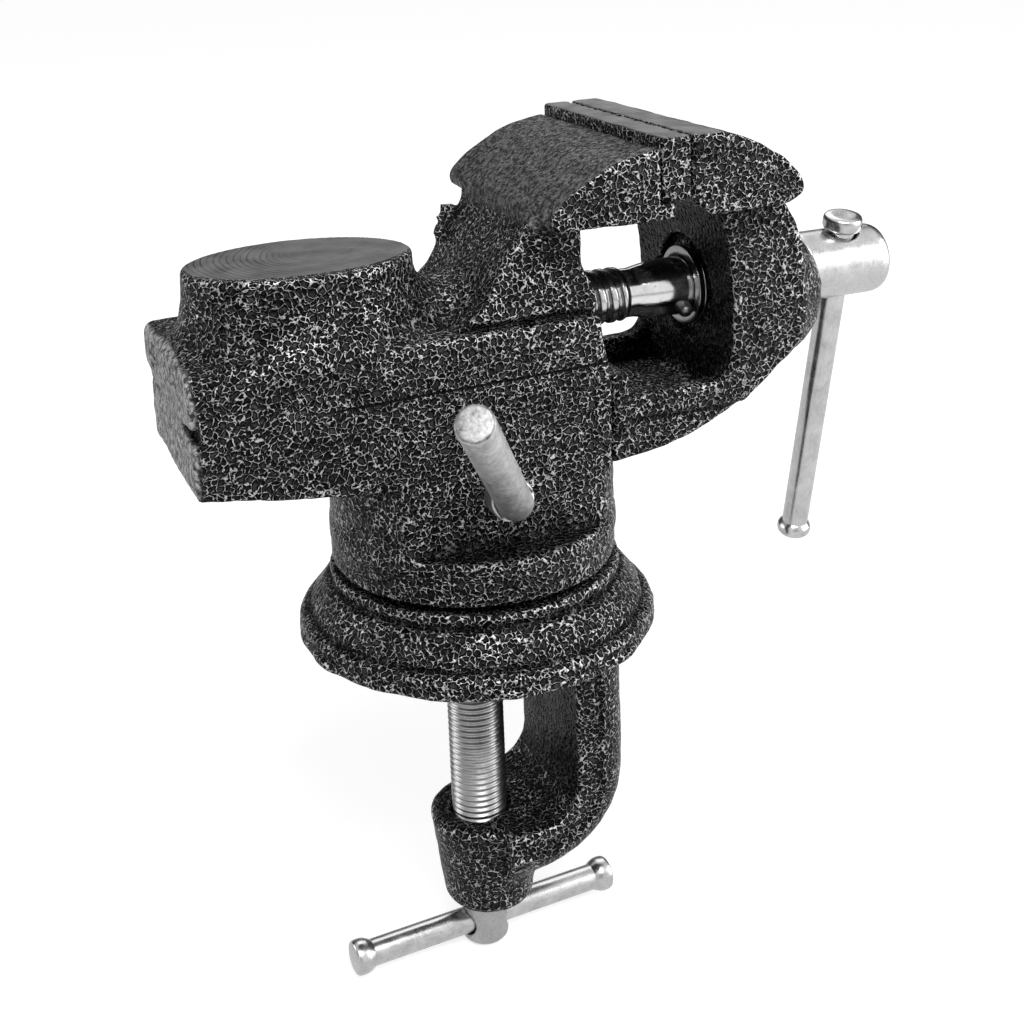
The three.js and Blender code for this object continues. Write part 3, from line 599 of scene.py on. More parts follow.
class Effect:
    """A node group that gives a colour, a roughness, a height in millimetres and a share of metal."""

    name = "effect"
    inputs: dict[str, tuple[str, object]] = {}

    def group(self) -> bpy.types.NodeTree:
        """Returns the group, which is built the first time that it is asked for."""
        known = bpy.data.node_groups.get(self.name)
        if known:
            return known
        tree = bpy.data.node_groups.new(self.name, "ShaderNodeTree")
        tree.interface.new_socket("Place", in_out="INPUT", socket_type=SOCKETS["vector"])
        for label, (kind, default) in self.inputs.items():
            socket = tree.interface.new_socket(label, in_out="INPUT", socket_type=SOCKETS[kind])
            socket.default_value = default
        for label, kind in LOOK.items():
            tree.interface.new_socket(label, in_out="OUTPUT", socket_type=SOCKETS[kind])
        wiring = Wiring(tree)
        wiring.filled("NodeGroupOutput", self.wire(wiring, wiring.node("NodeGroupInput").outputs))
        return tree

    def wire(self, w: Wiring, given: Sockets) -> dict[str, object]:
        """Adds the group's nodes and returns its outputs by name."""
        raise NotImplementedError

    def used(self, w: Wiring, place: object, **values: object) -> Sockets:
        """Places the group in a material with its own values and returns its outputs."""
        return w.filled("ShaderNodeGroup", {"Place": place, **values}, node_tree=self.group()).outputs


class Hammertone(Effect):
    """Hammertone enamel: dark dimples between thin pale ridges that break off and gather into knots.

    The bends say how the cells are drawn out of shape: waves to the millimetre, detail and reach. The
    share of an edge adds flakes as a painted highlight on outer edges, the share of a nook takes flakes and
    tone away as painted shade, and a grey lays a painted sheen over faces seen at a grazing angle.
    """

    name = "hammertone_enamel"
    inputs = {
        "Cell": ("number", 1.2), "Vein": ("number", 0.05), "Depth": ("number", 0.4),
        "Dark": ("colour", (0.036, 0.036, 0.038, 1)), "Pale": ("colour", (0.6, 0.6, 0.61, 1)),
        # Inputs of painted light: a painted highlight on edges, painted shade in nooks and a painted sheen.
        "Edge": ("number", 0.0), "Nook": ("number", 0.0), "Grey": ("number", 0.0),
    }
    BENDS = ((0.22, 0.0, 1.4), (1.1, 1.0, 0.9))
    PATCH, SPECK, WRINKLE = 0.16, 1.6, 0.95
    # How much the painted highlight widens ridges and adds flakes, and how much painted shade takes away.
    EDGE_WIDTH, EDGE_FLAKES, NOOK_LOSS = 0.5, 0.3, 0.8
    CELL_TONES = (0.25, 1.6)
    # Most share of the painted sheen, and the share of metal in the flakes.
    THIN_PAINT, METAL = 0.8, 0.5
    ROUGH = (0.26, 0.38)

    def wire(self, w: Wiring, given: Sockets) -> dict[str, object]:
        """Ridges lie where the two nearest cell hearts are almost equally far, so they widen into knots.

        Metal flakes gather on the ridges. The paint is darkened at the foot of a ridge as painted shade and
        is paler in the middle of a dimple. Along an outer edge the ridges widen and gain flakes as a painted
        highlight, and in a nook they fade and the dimples darken as painted shade. A grey above nothing lays
        a painted sheen over the pattern: a flat grey tone with pinholes that hides the ridges.
        """
        place, cell = given["Place"], given["Cell"]
        bent = w.vector("DIVIDE", place, w.joined(cell, cell, cell))
        for scale, detail, reach in self.BENDS:
            sway = w.vector("SUBTRACT", w.noise(place, scale, detail, colour=True), (0.5, 0.5, 0.5))
            bent = w.vector("ADD", bent, w.vector("SCALE", sway, reach))
        nearest, second = (
            w.filled("ShaderNodeTexVoronoi", {"Vector": bent, "Scale": 1.0}, feature=feature).outputs
            for feature in ("F1", "F2")
        )
        edge = w.times(w.less(second["Distance"], nearest["Distance"]), cell, 0.5)
        patch, speck = w.noise(place, self.PATCH, 1.0), w.noise(place, self.SPECK, 1.0)
        # Painted shade: the nook value takes flakes away here and darkens the dimples further down.
        open_share = w.less(1.0, w.times(given["Nook"], self.NOOK_LOSS))
        # Painted highlight: on outer edges the ridges widen here and gain flakes a few lines down.
        wider = w.plus(w.times(given["Edge"], self.EDGE_WIDTH), 1.0)
        width = w.times(given["Vein"], w.ranged(speck, 0.3, 0.7, (0.5, 1.4)), wider)
        ridge = w.less(1.0, w.ranged(edge, w.times(width, 0.2), width))
        broken, grouped = w.ranged(speck, 0.34, 0.6, (0.15, 1.0)), w.ranged(patch, 0.3, 0.65, (0.6, 1.0))
        strength = w.times(broken, grouped, open_share)
        strength = w.plus(w.times(given["Edge"], self.EDGE_FLAKES), strength, clamp=True)
        # Painted shade at the foot of each ridge and in nooks, with a patchy tone of the paint's own.
        heart = w.times(w.ranged(edge, 0.1, 0.42), w.ranged(patch, 0.3, 0.7, (0.7, 1.3)), open_share)
        own = w.mixed(w.split(nearest["Color"])[0], *self.CELL_TONES)
        dark = w.vector("SCALE", given["Dark"], w.times(heart, own))
        rise = w.less(1.0, w.ranged(edge, 0.0, 0.45))
        flakes = w.times(ridge, strength)
        # Painted sheen: a flat grey tone with pinholes that covers the pattern where the grey value is set.
        thin = w.ranged(given["Grey"], 0.0, 0.1, (0.0, self.THIN_PAINT))
        wrinkle = w.ranged(w.noise(place, self.WRINKLE, 3.0, 0.6), 0.4, 0.6, (0.2, 1.45))
        tone = w.times(wrinkle, w.ranged(nearest["Distance"], 0.08, 0.2), given["Grey"])
        colour = w.mixed(flakes, dark, given["Pale"], "RGBA")
        return {
            "Color": w.mixed(thin, colour, w.joined(tone, tone, tone), "RGBA"),
            "Roughness": w.mixed(ridge, *self.ROUGH),
            "Height": w.times(w.plus(rise, w.times(speck, 0.6)), given["Depth"]),
            "Metal": w.times(flakes, self.METAL),
        }


class CutMarks(Effect):
    """Bare iron faced on a lathe: arcs about a centre, torn streaks, and dull patches."""

    name = "faced_iron"
    inputs = {
        "Centre": ("vector", (-24.0, 2.0, 0.0)), "Tone": ("number", 0.2), "Spacing": ("number", 1.15),
        "Contrast": ("number", 1.0),
    }
    ARC_SIDE = (-5.0, -13.0)
    RING_TONE, TORN_TONE, ARC_TONE, FINE_TONE = 0.6, -0.35, -0.8, 0.2
    MARK_HEIGHT, METAL = 0.012, 0.6

    def wire(self, w: Wiring, given: Sockets) -> dict[str, object]:
        """Rings of noise, with arcs from a wave on the distance on one side and torn streaks on the other."""
        place = given["Place"]
        x, y, _ = w.split(w.vector("SUBTRACT", place, given["Centre"]))
        away = w.plus(w.math("SQRT", w.plus(w.times(x, x), w.times(y, y))), w.noise(place, 0.12))
        ring = w.noise(w.joined(away, w.times(w.math("ARCTAN2", y, x), 0.9), 0.0), 1.1, 4.0, 0.7)
        wave = w.math("SINE", w.times(w.math("DIVIDE", away, given["Spacing"]), 2 * math.pi))
        side = w.ranged(x, *self.ARC_SIDE)
        arcs = w.times(w.ranged(wave, 0.5, 1.0), side, w.ranged(ring, 0.35, 0.55))
        streaks = w.noise(w.joined(w.times(x, 0.35), w.times(y, 1.5), 0.0), 1.0, 4.0, 0.75)
        torn = w.times(w.ranged(streaks, 0.5, 0.68), w.less(1.0, side))
        marks = w.plus(w.times(w.less(ring, 0.5), self.RING_TONE), w.times(torn, self.TORN_TONE))
        marks = w.times(w.plus(w.times(arcs, self.ARC_TONE), marks), given["Contrast"])
        blot, fine = w.noise(place, 0.2, 3.0), w.times(w.noise(place, 3.0, 3.0, 0.7), self.FINE_TONE)
        tone = w.times(given["Tone"], w.plus(marks, w.ranged(blot, 0.3, 0.7, (0.7, 1.2)), fine), clamp=True)
        return {
            "Color": w.joined(tone, tone, tone),
            "Roughness": w.ranged(blot, 0.3, 0.7, (0.42, 0.58)),
            "Height": w.times(marks, self.MARK_HEIGHT),
            "Metal": self.METAL,
        }


class Plate(Effect):
    """Plated or bare drawn steel: cloudy tone, short scratches and stains."""

    name = "plated_steel"
    inputs = {
        "Tone": ("number", 0.62), "Clouds": ("number", 0.2), "Grain": ("number", 0.25),
        "Stain": ("number", 0.4), "Along": ("vector", (1.0, 1.0, 1.0)), "Gloss": ("number", 0.24),
    }
    SCRATCH, CLOUD, SPOT = 2.4, 0.3, 0.9
    CLOUD_DULL, STAIN_DULL, HEIGHT = 0.25, 0.3, 0.01

    def wire(self, w: Wiring, given: Sockets) -> dict[str, object]:
        """The place is squeezed along the piece, so that noise draws out into scratches."""
        place = given["Place"]
        grain = w.noise(w.vector("MULTIPLY", place, given["Along"]), self.SCRATCH, 3.0, 0.7)
        cloud = w.noise(place, self.CLOUD, 3.0, 0.6)
        stain = w.times(w.ranged(w.noise(place, self.SPOT, 4.0, 0.75), 0.62, 0.72), given["Stain"])
        cloudy, grained = (w.times(w.less(value, 0.5), given[label])
                           for value, label in ((cloud, "Clouds"), (grain, "Grain")))
        tone = w.times(w.plus(given["Tone"], cloudy, grained), w.less(1.0, stain), clamp=True)
        rough = w.plus(given["Gloss"], w.times(w.less(cloud, 0.4), self.CLOUD_DULL), clamp=True)
        return {
            "Color": w.joined(tone, tone, tone),
            "Roughness": w.plus(rough, w.times(stain, self.STAIN_DULL), clamp=True),
            "Height": w.times(w.plus(grain, cloud), self.HEIGHT),
            "Metal": 1.0,
        }


def shader(name: str) -> tuple[bpy.types.Material, Wiring, Node]:
    """Makes an empty material with a Principled shader and returns it with its wiring and shader."""
    material = bpy.data.materials.new(name)
    material.use_nodes = True
    material.node_tree.nodes.clear()
    w = Wiring(material.node_tree)
    principled = w.node("ShaderNodeBsdfPrincipled")
    w.filled("ShaderNodeOutputMaterial", {"Surface": principled.outputs[0]})
    return material, w, principled


def surfaced(w: Wiring, principled: Node, look: dict[str, object]) -> None:
    """Feeds a colour, a roughness and a height in millimetres to the shader."""
    w.feed(principled.inputs["Base Color"], look["Color"])
    w.feed(principled.inputs["Roughness"], look["Roughness"])
    bump = w.filled("ShaderNodeBump", {"Strength": 1.0, "Distance": MM, "Height": look["Height"]})
    w.feed(principled.inputs["Normal"], bump.outputs[0])


@dataclass(frozen=True)
class PaintedIron:
    """Hammertone paint on a casting, with bare ground iron above a height.

    The paint's pattern is moved by an offset, so that no two castings share it, and it follows three values
    in the skin of the casting, which give a painted highlight on outer edges, painted shade in hollows and a
    painted sheen on faces seen at a grazing angle. The border of the bare iron wanders by a fraction
    of a millimetre, and an oval, by its middle and its half-lengths in X and Y, may bound it too. A seam is
    a line of painted shade with a shallow dip on the near side, by the place along X where it starts, its
    height and its rise along X.
    """

    name: str
    offset: Point
    bare_above: float = 1000.0
    oval: tuple[float, float, float, float] | None = None
    tone: float = 0.2
    centre: Point = (-24.0, 2.0, 0.0)
    contrast: float = 1.0
    seam: tuple[float, float, float] | None = None
    specular: float = 0.06
    near_side: float = -18.0

    def material(self) -> bpy.types.Material:
        """Builds the material."""
        material, w, principled = shader(self.name)
        place = w.place()
        # Skin values of painted light: painted highlight, painted shade and painted sheen.
        skin = {label.title(): w.node("ShaderNodeAttribute", attribute_name=label).outputs["Fac"]
                for label in ("edge", "nook", "grey")}
        paint = Hammertone().used(w, w.vector("ADD", place, self.offset), **skin)
        iron = CutMarks().used(w, place, Centre=self.centre, Tone=self.tone, Contrast=self.contrast)
        x, y, z = w.split(place)
        ragged = w.less(w.noise(place, 1.2), 0.5)
        bare = w.math("GREATER_THAN", w.plus(w.times(ragged, 0.3), z), self.bare_above)
        if self.oval:
            middle_x, middle_y, half_x, half_y = self.oval
            away = w.vector("LENGTH", w.joined(w.math("DIVIDE", w.less(x, middle_x), half_x),
                                               w.math("DIVIDE", w.less(y, middle_y), half_y), 0.0))
            bare = w.times(bare, w.math("LESS_THAN", w.plus(w.times(ragged, 0.06), away), 1.0))
        look = {label: w.mixed(bare, paint[label], iron[label], "RGBA" if kind == "colour" else "FLOAT")
                for label, kind in LOOK.items()}
        # Painted shade: a near-black line, with a shallow dip and no flakes, where the seam's groove holds
        # shadow.
        if self.seam:
            line = self.seam_mask(w, x, y, z)
            look["Color"] = w.mixed(line, look["Color"], (0.002, 0.002, 0.002, 1), "RGBA")
            look["Height"] = w.less(look["Height"], w.times(line, 0.3))
            look["Metal"] = w.times(look["Metal"], w.less(1.0, line))
        surfaced(w, principled, look)
        w.feed(principled.inputs["Metallic"], look["Metal"])
        principled.inputs["Specular IOR Level"].default_value = self.specular
        return material

    def seam_mask(self, w: Wiring, x: object, y: object, z: object) -> Socket:
        """Returns 1 on the seam's line of painted shade: near its sloping line, past its start and on the
        near side.
        """
        start, height, slope = self.seam
        above = w.less(z, w.plus(height, w.times(x, slope)))
        line = w.less(1.0, w.ranged(w.math("ABSOLUTE", above), 0.12, 0.3))
        return w.times(line, w.math("GREATER_THAN", x, start), w.math("LESS_THAN", y, self.near_side))


@dataclass(frozen=True)
class Steel:
    """Bare or plated steel with its own tone, gloss, grain and direction of drawing.

    An end, by a direction, a distance along it and a share, is a sawn face past that distance, with that
    share of the tone.
    """

    name: str
    tone: float
    gloss: float
    clouds: float = 0.2
    grain: float = 0.2
    stain: float = 0.35
    along: Point = (1.0, 1.0, 1.0)
    end: tuple[Point, float, float] | None = None

    def material(self) -> bpy.types.Material:
        """Builds the material."""
        material, w, principled = shader(self.name)
        place, tone = w.place(), self.tone
        if self.end:
            way, distance, share = self.end
            far = w.plus(*w.split(w.vector("MULTIPLY", place, way)))
            tone = w.times(w.ranged(far, distance - 0.1, distance + 0.1, (1.0, share)), self.tone)
        look = Plate().used(w, place, Tone=tone, Gloss=self.gloss, Clouds=self.clouds, Grain=self.grain,
                            Stain=self.stain, Along=self.along)
        surfaced(w, principled, look)
        principled.inputs["Metallic"].default_value = 1.0
        return material


def dressed(obj: bpy.types.Object, finish: PaintedIron | Steel) -> bpy.types.Object:
    """Gives every material slot of an object a finish, which is built once for each name.

    A finish's name is never the name of one of the record's slots, because the frame has materials of
    those names.
    """
    material = bpy.data.materials.get(finish.name) or finish.material()
    if not obj.material_slots:
        obj.data.materials.append(material)
    for slot in obj.material_slots:
        slot.material = material
    return obj


def fitted(surface: Surface, name: str, finish: PaintedIron | Steel, body: Body, slot: str,
           *nodes: str) -> None:
    """Makes a piece, dresses it, and has it ride on its body in place of its CAD nodes.

    Args:
        surface: shape of the piece, in place.
        name: name of the piece.
        finish: its finish.
        body: the body it rides on.
        slot: the record's material slot that its finish stands for; not used.
        nodes: the CAD nodes that it replaces.
    """
    obj = dressed(surface.mesh_object(name), finish)
    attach(obj, body.value)
    if nodes:
        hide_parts(*nodes)
    LOG.info("%s: %d corners on %s", name, len(surface.corners), body.value)


# Castings

SPINDLE_Z = 60.55
CLAMP_X = -1.2
LOCK_X, LOCK_Z = -1.0, 33.1
JAW_TOP, JAW_HALF, WING_LOW, SEAT_LOW = 94.45, 25, 80.05, 82.75
PLATE_SCREW_Y, PLATE_SCREW_Z = 14, 88.75
JAW_GRINDING = {"bare_above": JAW_TOP - 0.25, "tone": 0.17, "centre": (400.0, 31.0, 0.0), "contrast": 0.6}


@dataclass
class SwivelBase:
    """Round base, swivel post, C-frame and threaded boss of the clamp, in one casting."""

    radius: float = 34.1
    rim_height: float = 4.7
    frame_x: float = 14.5
    frame_bend: float = 8.0
    throat: float = 42.0
    half_width: float = 14.0
    edge_thickness: float = 5.4
    crown: float = 8.3
    boss_x: float = 0.1
    boss_height: float = 20.4
    clamp_x: float = CLAMP_X
    bore: float = 5.95
    step: float = 0.52

    def disc(self, grid: Grid) -> Array:
        """Rim, hollow shoulder, lip, swivel ring and post, turned about the swivel axis."""
        r, rim = self.radius, self.rim_height
        return lathe_up(grid, [
            (0, 0), (r - 1.0, 0), (r, 0.9), (r - 0.1, rim - 0.8), (r - 0.9, rim), (r - 2.1, rim + 0.2),
            (r - 2.3, rim + 0.8), (31.5, 6.9), (30.4, 8.3), (28.7, 10.5), (27.6, 10.9), (27.3, 11.5),
            (27.8, 12.1), (27.7, 13.3), (27.2, 13.7), (26.3, 13.0), (23.1, 12.8), (22, 14.2),
            (15, 14.2), (15, 30.1), (13.2, 33.1), (15, 36.1), (15, 37), (13.8, 38.2), (0, 38.2),
        ], (0, 0), soft=0.35)

    def flash(self, grid: Grid) -> Array:
        """Thin ragged fin along the foot of the rim, where the halves of the mould met."""
        angle = np.arctan2(grid.y, grid.x)
        reach = self.radius + 0.35 + 0.4 * np.sin(3 * angle + 1) * np.sin(7 * angle)
        reach = reach + 0.25 * np.sin(17 * angle)
        return both(np.hypot(grid.x, grid.y) - reach, np.abs(grid.z - 1.5) - 0.75, 0.5)

    def strap(self, grid: Grid) -> Array:
        """C-frame: flat inside, with straight sides and a crowned back, bent round to the boss.

        The distance out from the inner line is the distance from a box with one rounded corner. The back
        stands at the side's thickness plus the crown, which falls off across the width like a half circle.
        """
        ahead = grid.x - (self.frame_x - self.frame_bend)
        below = -grid.z - (self.throat - self.frame_bend)
        out = np.hypot(np.maximum(ahead, 0), np.maximum(below, 0)) + np.minimum(np.maximum(ahead, below), 0)
        out = out - self.frame_bend
        bend = np.arctan2(np.maximum(below, 0), np.maximum(ahead, 0) + 1e-3)
        share = np.interp(bend, np.linspace(0, math.pi / 2, 6), [1, 0.97, 0.92, 0.88, 0.9, 1.02])
        across = held(np.abs(grid.y) / self.half_width)
        back = self.edge_thickness + self.crown * share * np.sqrt(np.maximum(1 - across ** 2, 0.0025))
        side = np.abs(grid.y) - self.half_width
        body = both(both(np.maximum((out - back) * 0.8, -out), side, 0.7), -out, 0.8)
        ridge = np.maximum(np.abs(out - self.edge_thickness - 0.3) - 0.4, side - 0.5)
        ends = np.maximum(grid.z - 2, self.boss_x - grid.x)
        return np.maximum(filleted(body, ridge, 0.5), ends)

    def boss(self, grid: Grid) -> Array:
        """Tapered boss that holds the clamp screw."""
        top, low = -self.throat, -self.throat - self.boss_height
        return lathe_up(grid, [
            (0, low), (7.9, low), (8.9, low + 1.0), (11.3, top - 1.1), (10.3, top), (0, top),
        ], (self.boss_x, 0), soft=0.9)

    def surface(self) -> Surface:
        """Joins the forms with cast fillets, bores the boss, and roughens the skin."""
        grid = Grid((-37.5, -37, -64.5), (37, 37, 39.5), draft(self.step))
        whole = filleted(self.disc(grid), self.flash(grid), 0.5)
        whole = filleted(whole, filleted(self.strap(grid), self.boss(grid), 3.0), 3.5)
        hole = rod(grid, (self.clamp_x, 0, -70), (self.clamp_x, 0, -38), self.bore)
        skin = lumps(grid, 14, 0.1, 3) + lumps(grid, 3.2, 0.035, 4)
        whole = whole + skin * (1 - held(1 - np.abs(hole) / 2))
        surface = FieldMesher(grid, carved(whole, hole, 1.0)).surface()
        x, y, z = surface.corners.T
        # Painted shade on the inner face of the C-frame and on the top of the boss.
        inner = between(x, self.frame_x - 1, self.frame_x + 0.5) & (z < -1)
        top = between(z, -self.throat - 0.5, -self.throat + 0.5)
        surface.calmed((inner | top) & (np.abs(y) < self.half_width - 0.6), 0.85)
        return surface

    def build(self) -> None:
        """Makes and dresses the base casting."""
        fitted(self.surface(), "swivel_base", PaintedIron("base_hammertone", (31.0, 7.0, 12.0)), Body.BASE,
               "base_paint", "clamp_base_casting")


@dataclass
class ViseBody:
    """Drum, channel block, anvil, neck and fixed jaw in one casting, with the jaw's steel plate."""

    drum: float = 26.9
    ledge: float = 23.1
    half_width: float = 18.8
    rear: float = -55.0
    top: float = 62.45
    anvil_x: float = -30.5
    anvil_top: float = 75.55
    spindle_z: float = SPINDLE_Z
    # Shares of painted sheen on the rear end and on the backs of the wings.
    end_grey: float = 0.4
    wing_grey: float = 0.11
    step: float = 0.62

    def foot(self, grid: Grid) -> Array:
        """Full ring at the bottom, flat on both sides above the ledge."""
        r, low, high = self.drum, 14.7, self.ledge
        outline = [(0, low), (r - 0.6, low), (r, low + 0.7), (r, high), (0, high)]
        ring = lathe_up(grid, outline, (0, 0), soft=0.5)
        column = lathe_up(grid, [(0, 20), (r, 20), (r, 38), (0, 38)], (0, 0))
        flats = np.abs(grid.y) - self.half_width
        above = np.where(grid.x > 0, grid.z - 33.2, grid.z - 37.3)
        return filleted(ring, both(both(column, flats + 0 * column, 0.9), above + 0 * column, 0.9), 1.2)

    def block(self, grid: Grid) -> Array:
        """Block round the channel, with a shoulder along its top edge that widens towards the rear."""
        rear, top = self.rear, self.top
        outline = [
            (rear, 41.0), (self.anvil_x, 37.3), (-19.24, 36.4), (-19.24, self.ledge), (19.24, self.ledge),
            (19.24, 33.2), (20.8, 33.8), (20.8, 51.05), (19.2, 60.55), (19.2, top), (rear, top),
        ]
        body = slab(grid, outline, self.half_width, 0.7, 0.9)
        reach = 0.25 + 2.5 * held((-9 - grid.x) / 46)
        bevel = (np.abs(grid.y) - self.half_width + grid.z - top) * 0.707 + reach
        return both(body, bevel, 0.8)

    def neck(self, grid: Grid) -> Array:
        """Neck between the block and the jaw, with a hollow back, flared sides and a groove at their foot."""
        outline = [
            (19.2, 60), (19.2, 67.4), (17, 71.5), (17, 83), (7.3, 83), (6.6, 80.05), (5.0, 77.06),
            (2.9, 75.1), (0.6, 71.1), (-0.1, 69.5), (-1.1, 67.5), (-3.4, 65.3), (-8, 62.2), (-8, 60),
        ]
        flare, groove = held((72 - grid.z) / 8) ** 2, held((64.4 - grid.z) / 1.6)
        side = np.abs(grid.y) - (15.9 + 1.4 * flare - 1.6 * groove)
        return both(outline_distance(softened(np.array(outline), 1.0), grid.x, grid.z), side, 0.8)

    def anvil(self, grid: Grid) -> Array:
        """Oval anvil with a flared foot."""
        foot, top = self.top, self.anvil_top
        return lathe_up(grid, [
            (0, foot - 4), (24.4, foot - 4), (24.4, foot - 0.4), (23.0, foot + 1.6), (21.7, foot + 4.2),
            (20.8, foot + 7.8), (20.5, top - 0.5), (20.2, top - 0.1), (19.9, top), (0, top),
        ], (self.anvil_x, 0), squeeze=14.9 / 20.2)

    def hump(self, grid: Grid) -> Array:
        """Round back over the end of the spindle's bore."""
        rear, front, r = self.anvil_x, 17, 8.8
        return lathe_along(grid, [(0, rear), (r, rear), (r, front), (0, front)], (0, self.spindle_z))

    def jaw(self, grid: Grid) -> Array:
        """Two wings that overhang the neck, with the seat for the plate."""
        outline = [
            (27.9, 92.45), (25.44, 92.14), (20.73, 91.21), (17.65, 90.09), (14.37, 88.23), (11.5, 86.62),
            (9.45, 85.01), (7.81, 83.4), (7.4, 82.16), (7.61, 80.79), (8.63, WING_LOW), (30.7, WING_LOW),
            (30.7, SEAT_LOW), (27.9, SEAT_LOW),
        ]
        return slab(grid, outline, JAW_HALF, 0.7, 0.7)

    def flash(self, grid: Grid) -> Array:
        """Rough lumps that the mould left: under the near wing, behind the neck and at the rear end."""
        under = rod(grid, (5.6, -18.6, 80.6), (9.6, -21.2, 80.2), 1.3, 0.9)
        behind = rod(grid, (1.2, 14.2, 72.6), (4.2, 16.6, 77.6), 1.3, 0.9)
        end = block(grid, (self.rear - 0.5, 12, 54.5), (-38, 22.6, 62.5), 2.4)
        return np.minimum(np.minimum(under, behind) + lumps(grid, 2.2, 0.45, 8), end)

    def channel(self, grid: Grid) -> Array:
        """Slide channel, nut pocket, bores, swivel socket and tapped holes."""
        z = self.spindle_z
        cutters = [
            block(grid, (-51, -12.35, 41.7), (30, 12.35, 51.4), 0.3),
            block(grid, (-51, -12.35, 20), (-28, 12.35, 51.4), 0.3),
            block(grid, (0.7, -8.5, 49.4), (14.3, 8.5, 68.65), 0.3),
            rod(grid, (-47, 0, z), (32, 0, z), 5.65),
            rod(grid, (0, 0, 5), (0, 0, 38.7), 15.35),
            rod(grid, (LOCK_X, -3, LOCK_Z), (LOCK_X, -30, LOCK_Z), 3.35),
            self.slit(grid),
        ]
        for y in (-PLATE_SCREW_Y, PLATE_SCREW_Y):
            cutters.append(rod(grid, (23.2, y, PLATE_SCREW_Z), (35, y, PLATE_SCREW_Z), 2.3))
        return reduce(np.minimum, cutters)

    def slit(self, grid: Grid) -> Array:
        """Wedge-shaped slit in the rear end, high at the near edge and closed 12 mm further in."""
        tall = 1.7 * held((-6.5 - grid.y) / 12)
        return np.maximum(np.abs(grid.z - 52.0) - tall + 0.05, grid.x - self.rear - 1.6)

    def surface(self) -> Surface:
        """Joins the forms with cast fillets, roughens the skin, and cuts what is machined."""
        grid = Grid((-57.5, -28, 13), (32.5, 28, 94.5), draft(self.step))
        whole = self.block(grid)
        for form, reach in ((self.foot, 0.8), (self.neck, 0.7), (self.hump, 4.0), (self.anvil, 4.2),
                            (self.jaw, 2.2), (self.flash, 1.8)):
            whole = filleted(whole, form(grid), reach)
        channel = self.channel(grid)
        skin = lumps(grid, 15, 0.14, 1) + lumps(grid, 3.4, 0.05, 2)
        calm = held(channel / 3) * held((self.anvil_top - grid.z) / 4 + 2 * (grid.x > -9))
        surface = FieldMesher(grid, carved(whole + skin * calm, channel, 0.6)).surface()
        x, y, z = surface.corners.T
        # Painted shade on the ledges beside the flats of the drum.
        surface.calmed(between(z, self.ledge - 0.2, self.ledge + 1.9) & (np.abs(y) > self.half_width + 0.4))
        # Painted sheen: a light grey on the rear end and a darker grey on the backs of the wings, faces seen
        # at a grazing angle.
        end = held((self.rear + 0.9 - x) / 0.5)
        wing = held((z - 79) / 2) * held((JAW_HALF - 0.5 - np.abs(y)) / 0.4) * held((27.6 - x) / 0.4)
        surface.skin["grey"] = self.end_grey * end + self.wing_grey * wing
        return surface

    def plate(self) -> Surface:
        """Jaw plate with a ragged, slightly chipped upper edge and two countersunk holes."""
        grid = Grid((27, -26.5, 82), (35, 26.5, 95.7), draft(0.4))
        face = 33.8
        body = block(grid, (28.2, -JAW_HALF, 83.05), (face, JAW_HALF, JAW_TOP), 0.75)
        drill = [(0, 27), (2.3, 27), (2.3, 31.7), (4.1, 33.5), (4.1, 36), (0, 36)]
        for y in (-PLATE_SCREW_Y, PLATE_SCREW_Y):
            body = np.maximum(body, -lathe_along(grid, drill, (y, PLATE_SCREW_Z)))
        rim = held(1 - np.abs(grid.z - JAW_TOP) / 1.5) * held(1 - np.abs(grid.x - face) / 1.5)
        surface = FieldMesher(grid, body + np.abs(lumps(grid, 3.0, 0.4, 6)) * rim).surface()
        # Only a little painted highlight on the plate's edges.
        surface.skin["edge"] *= 0.3
        return surface

    def build(self) -> None:
        """Makes and dresses the body, the jaw plate and the screws that hold it."""
        paint = PaintedIron("body_hammertone", (0.0, 0.0, 0.0), bare_above=self.anvil_top - 0.2,
                            oval=(-30.3, 1.2, 20.2, 13.6), tone=0.125, seam=(-31.0, 53.55, 0.016))
        fitted(self.surface(), "vise_body", paint, Body.VISE, "body_paint", "vise_body_casting")
        ground = PaintedIron("plate_paint_and_iron", (5.0, 19.0, 3.0), **JAW_GRINDING)
        fitted(self.plate(), "jaw_plate", ground, Body.VISE, "jaw_plate_steel", "fixed_jaw_plate")


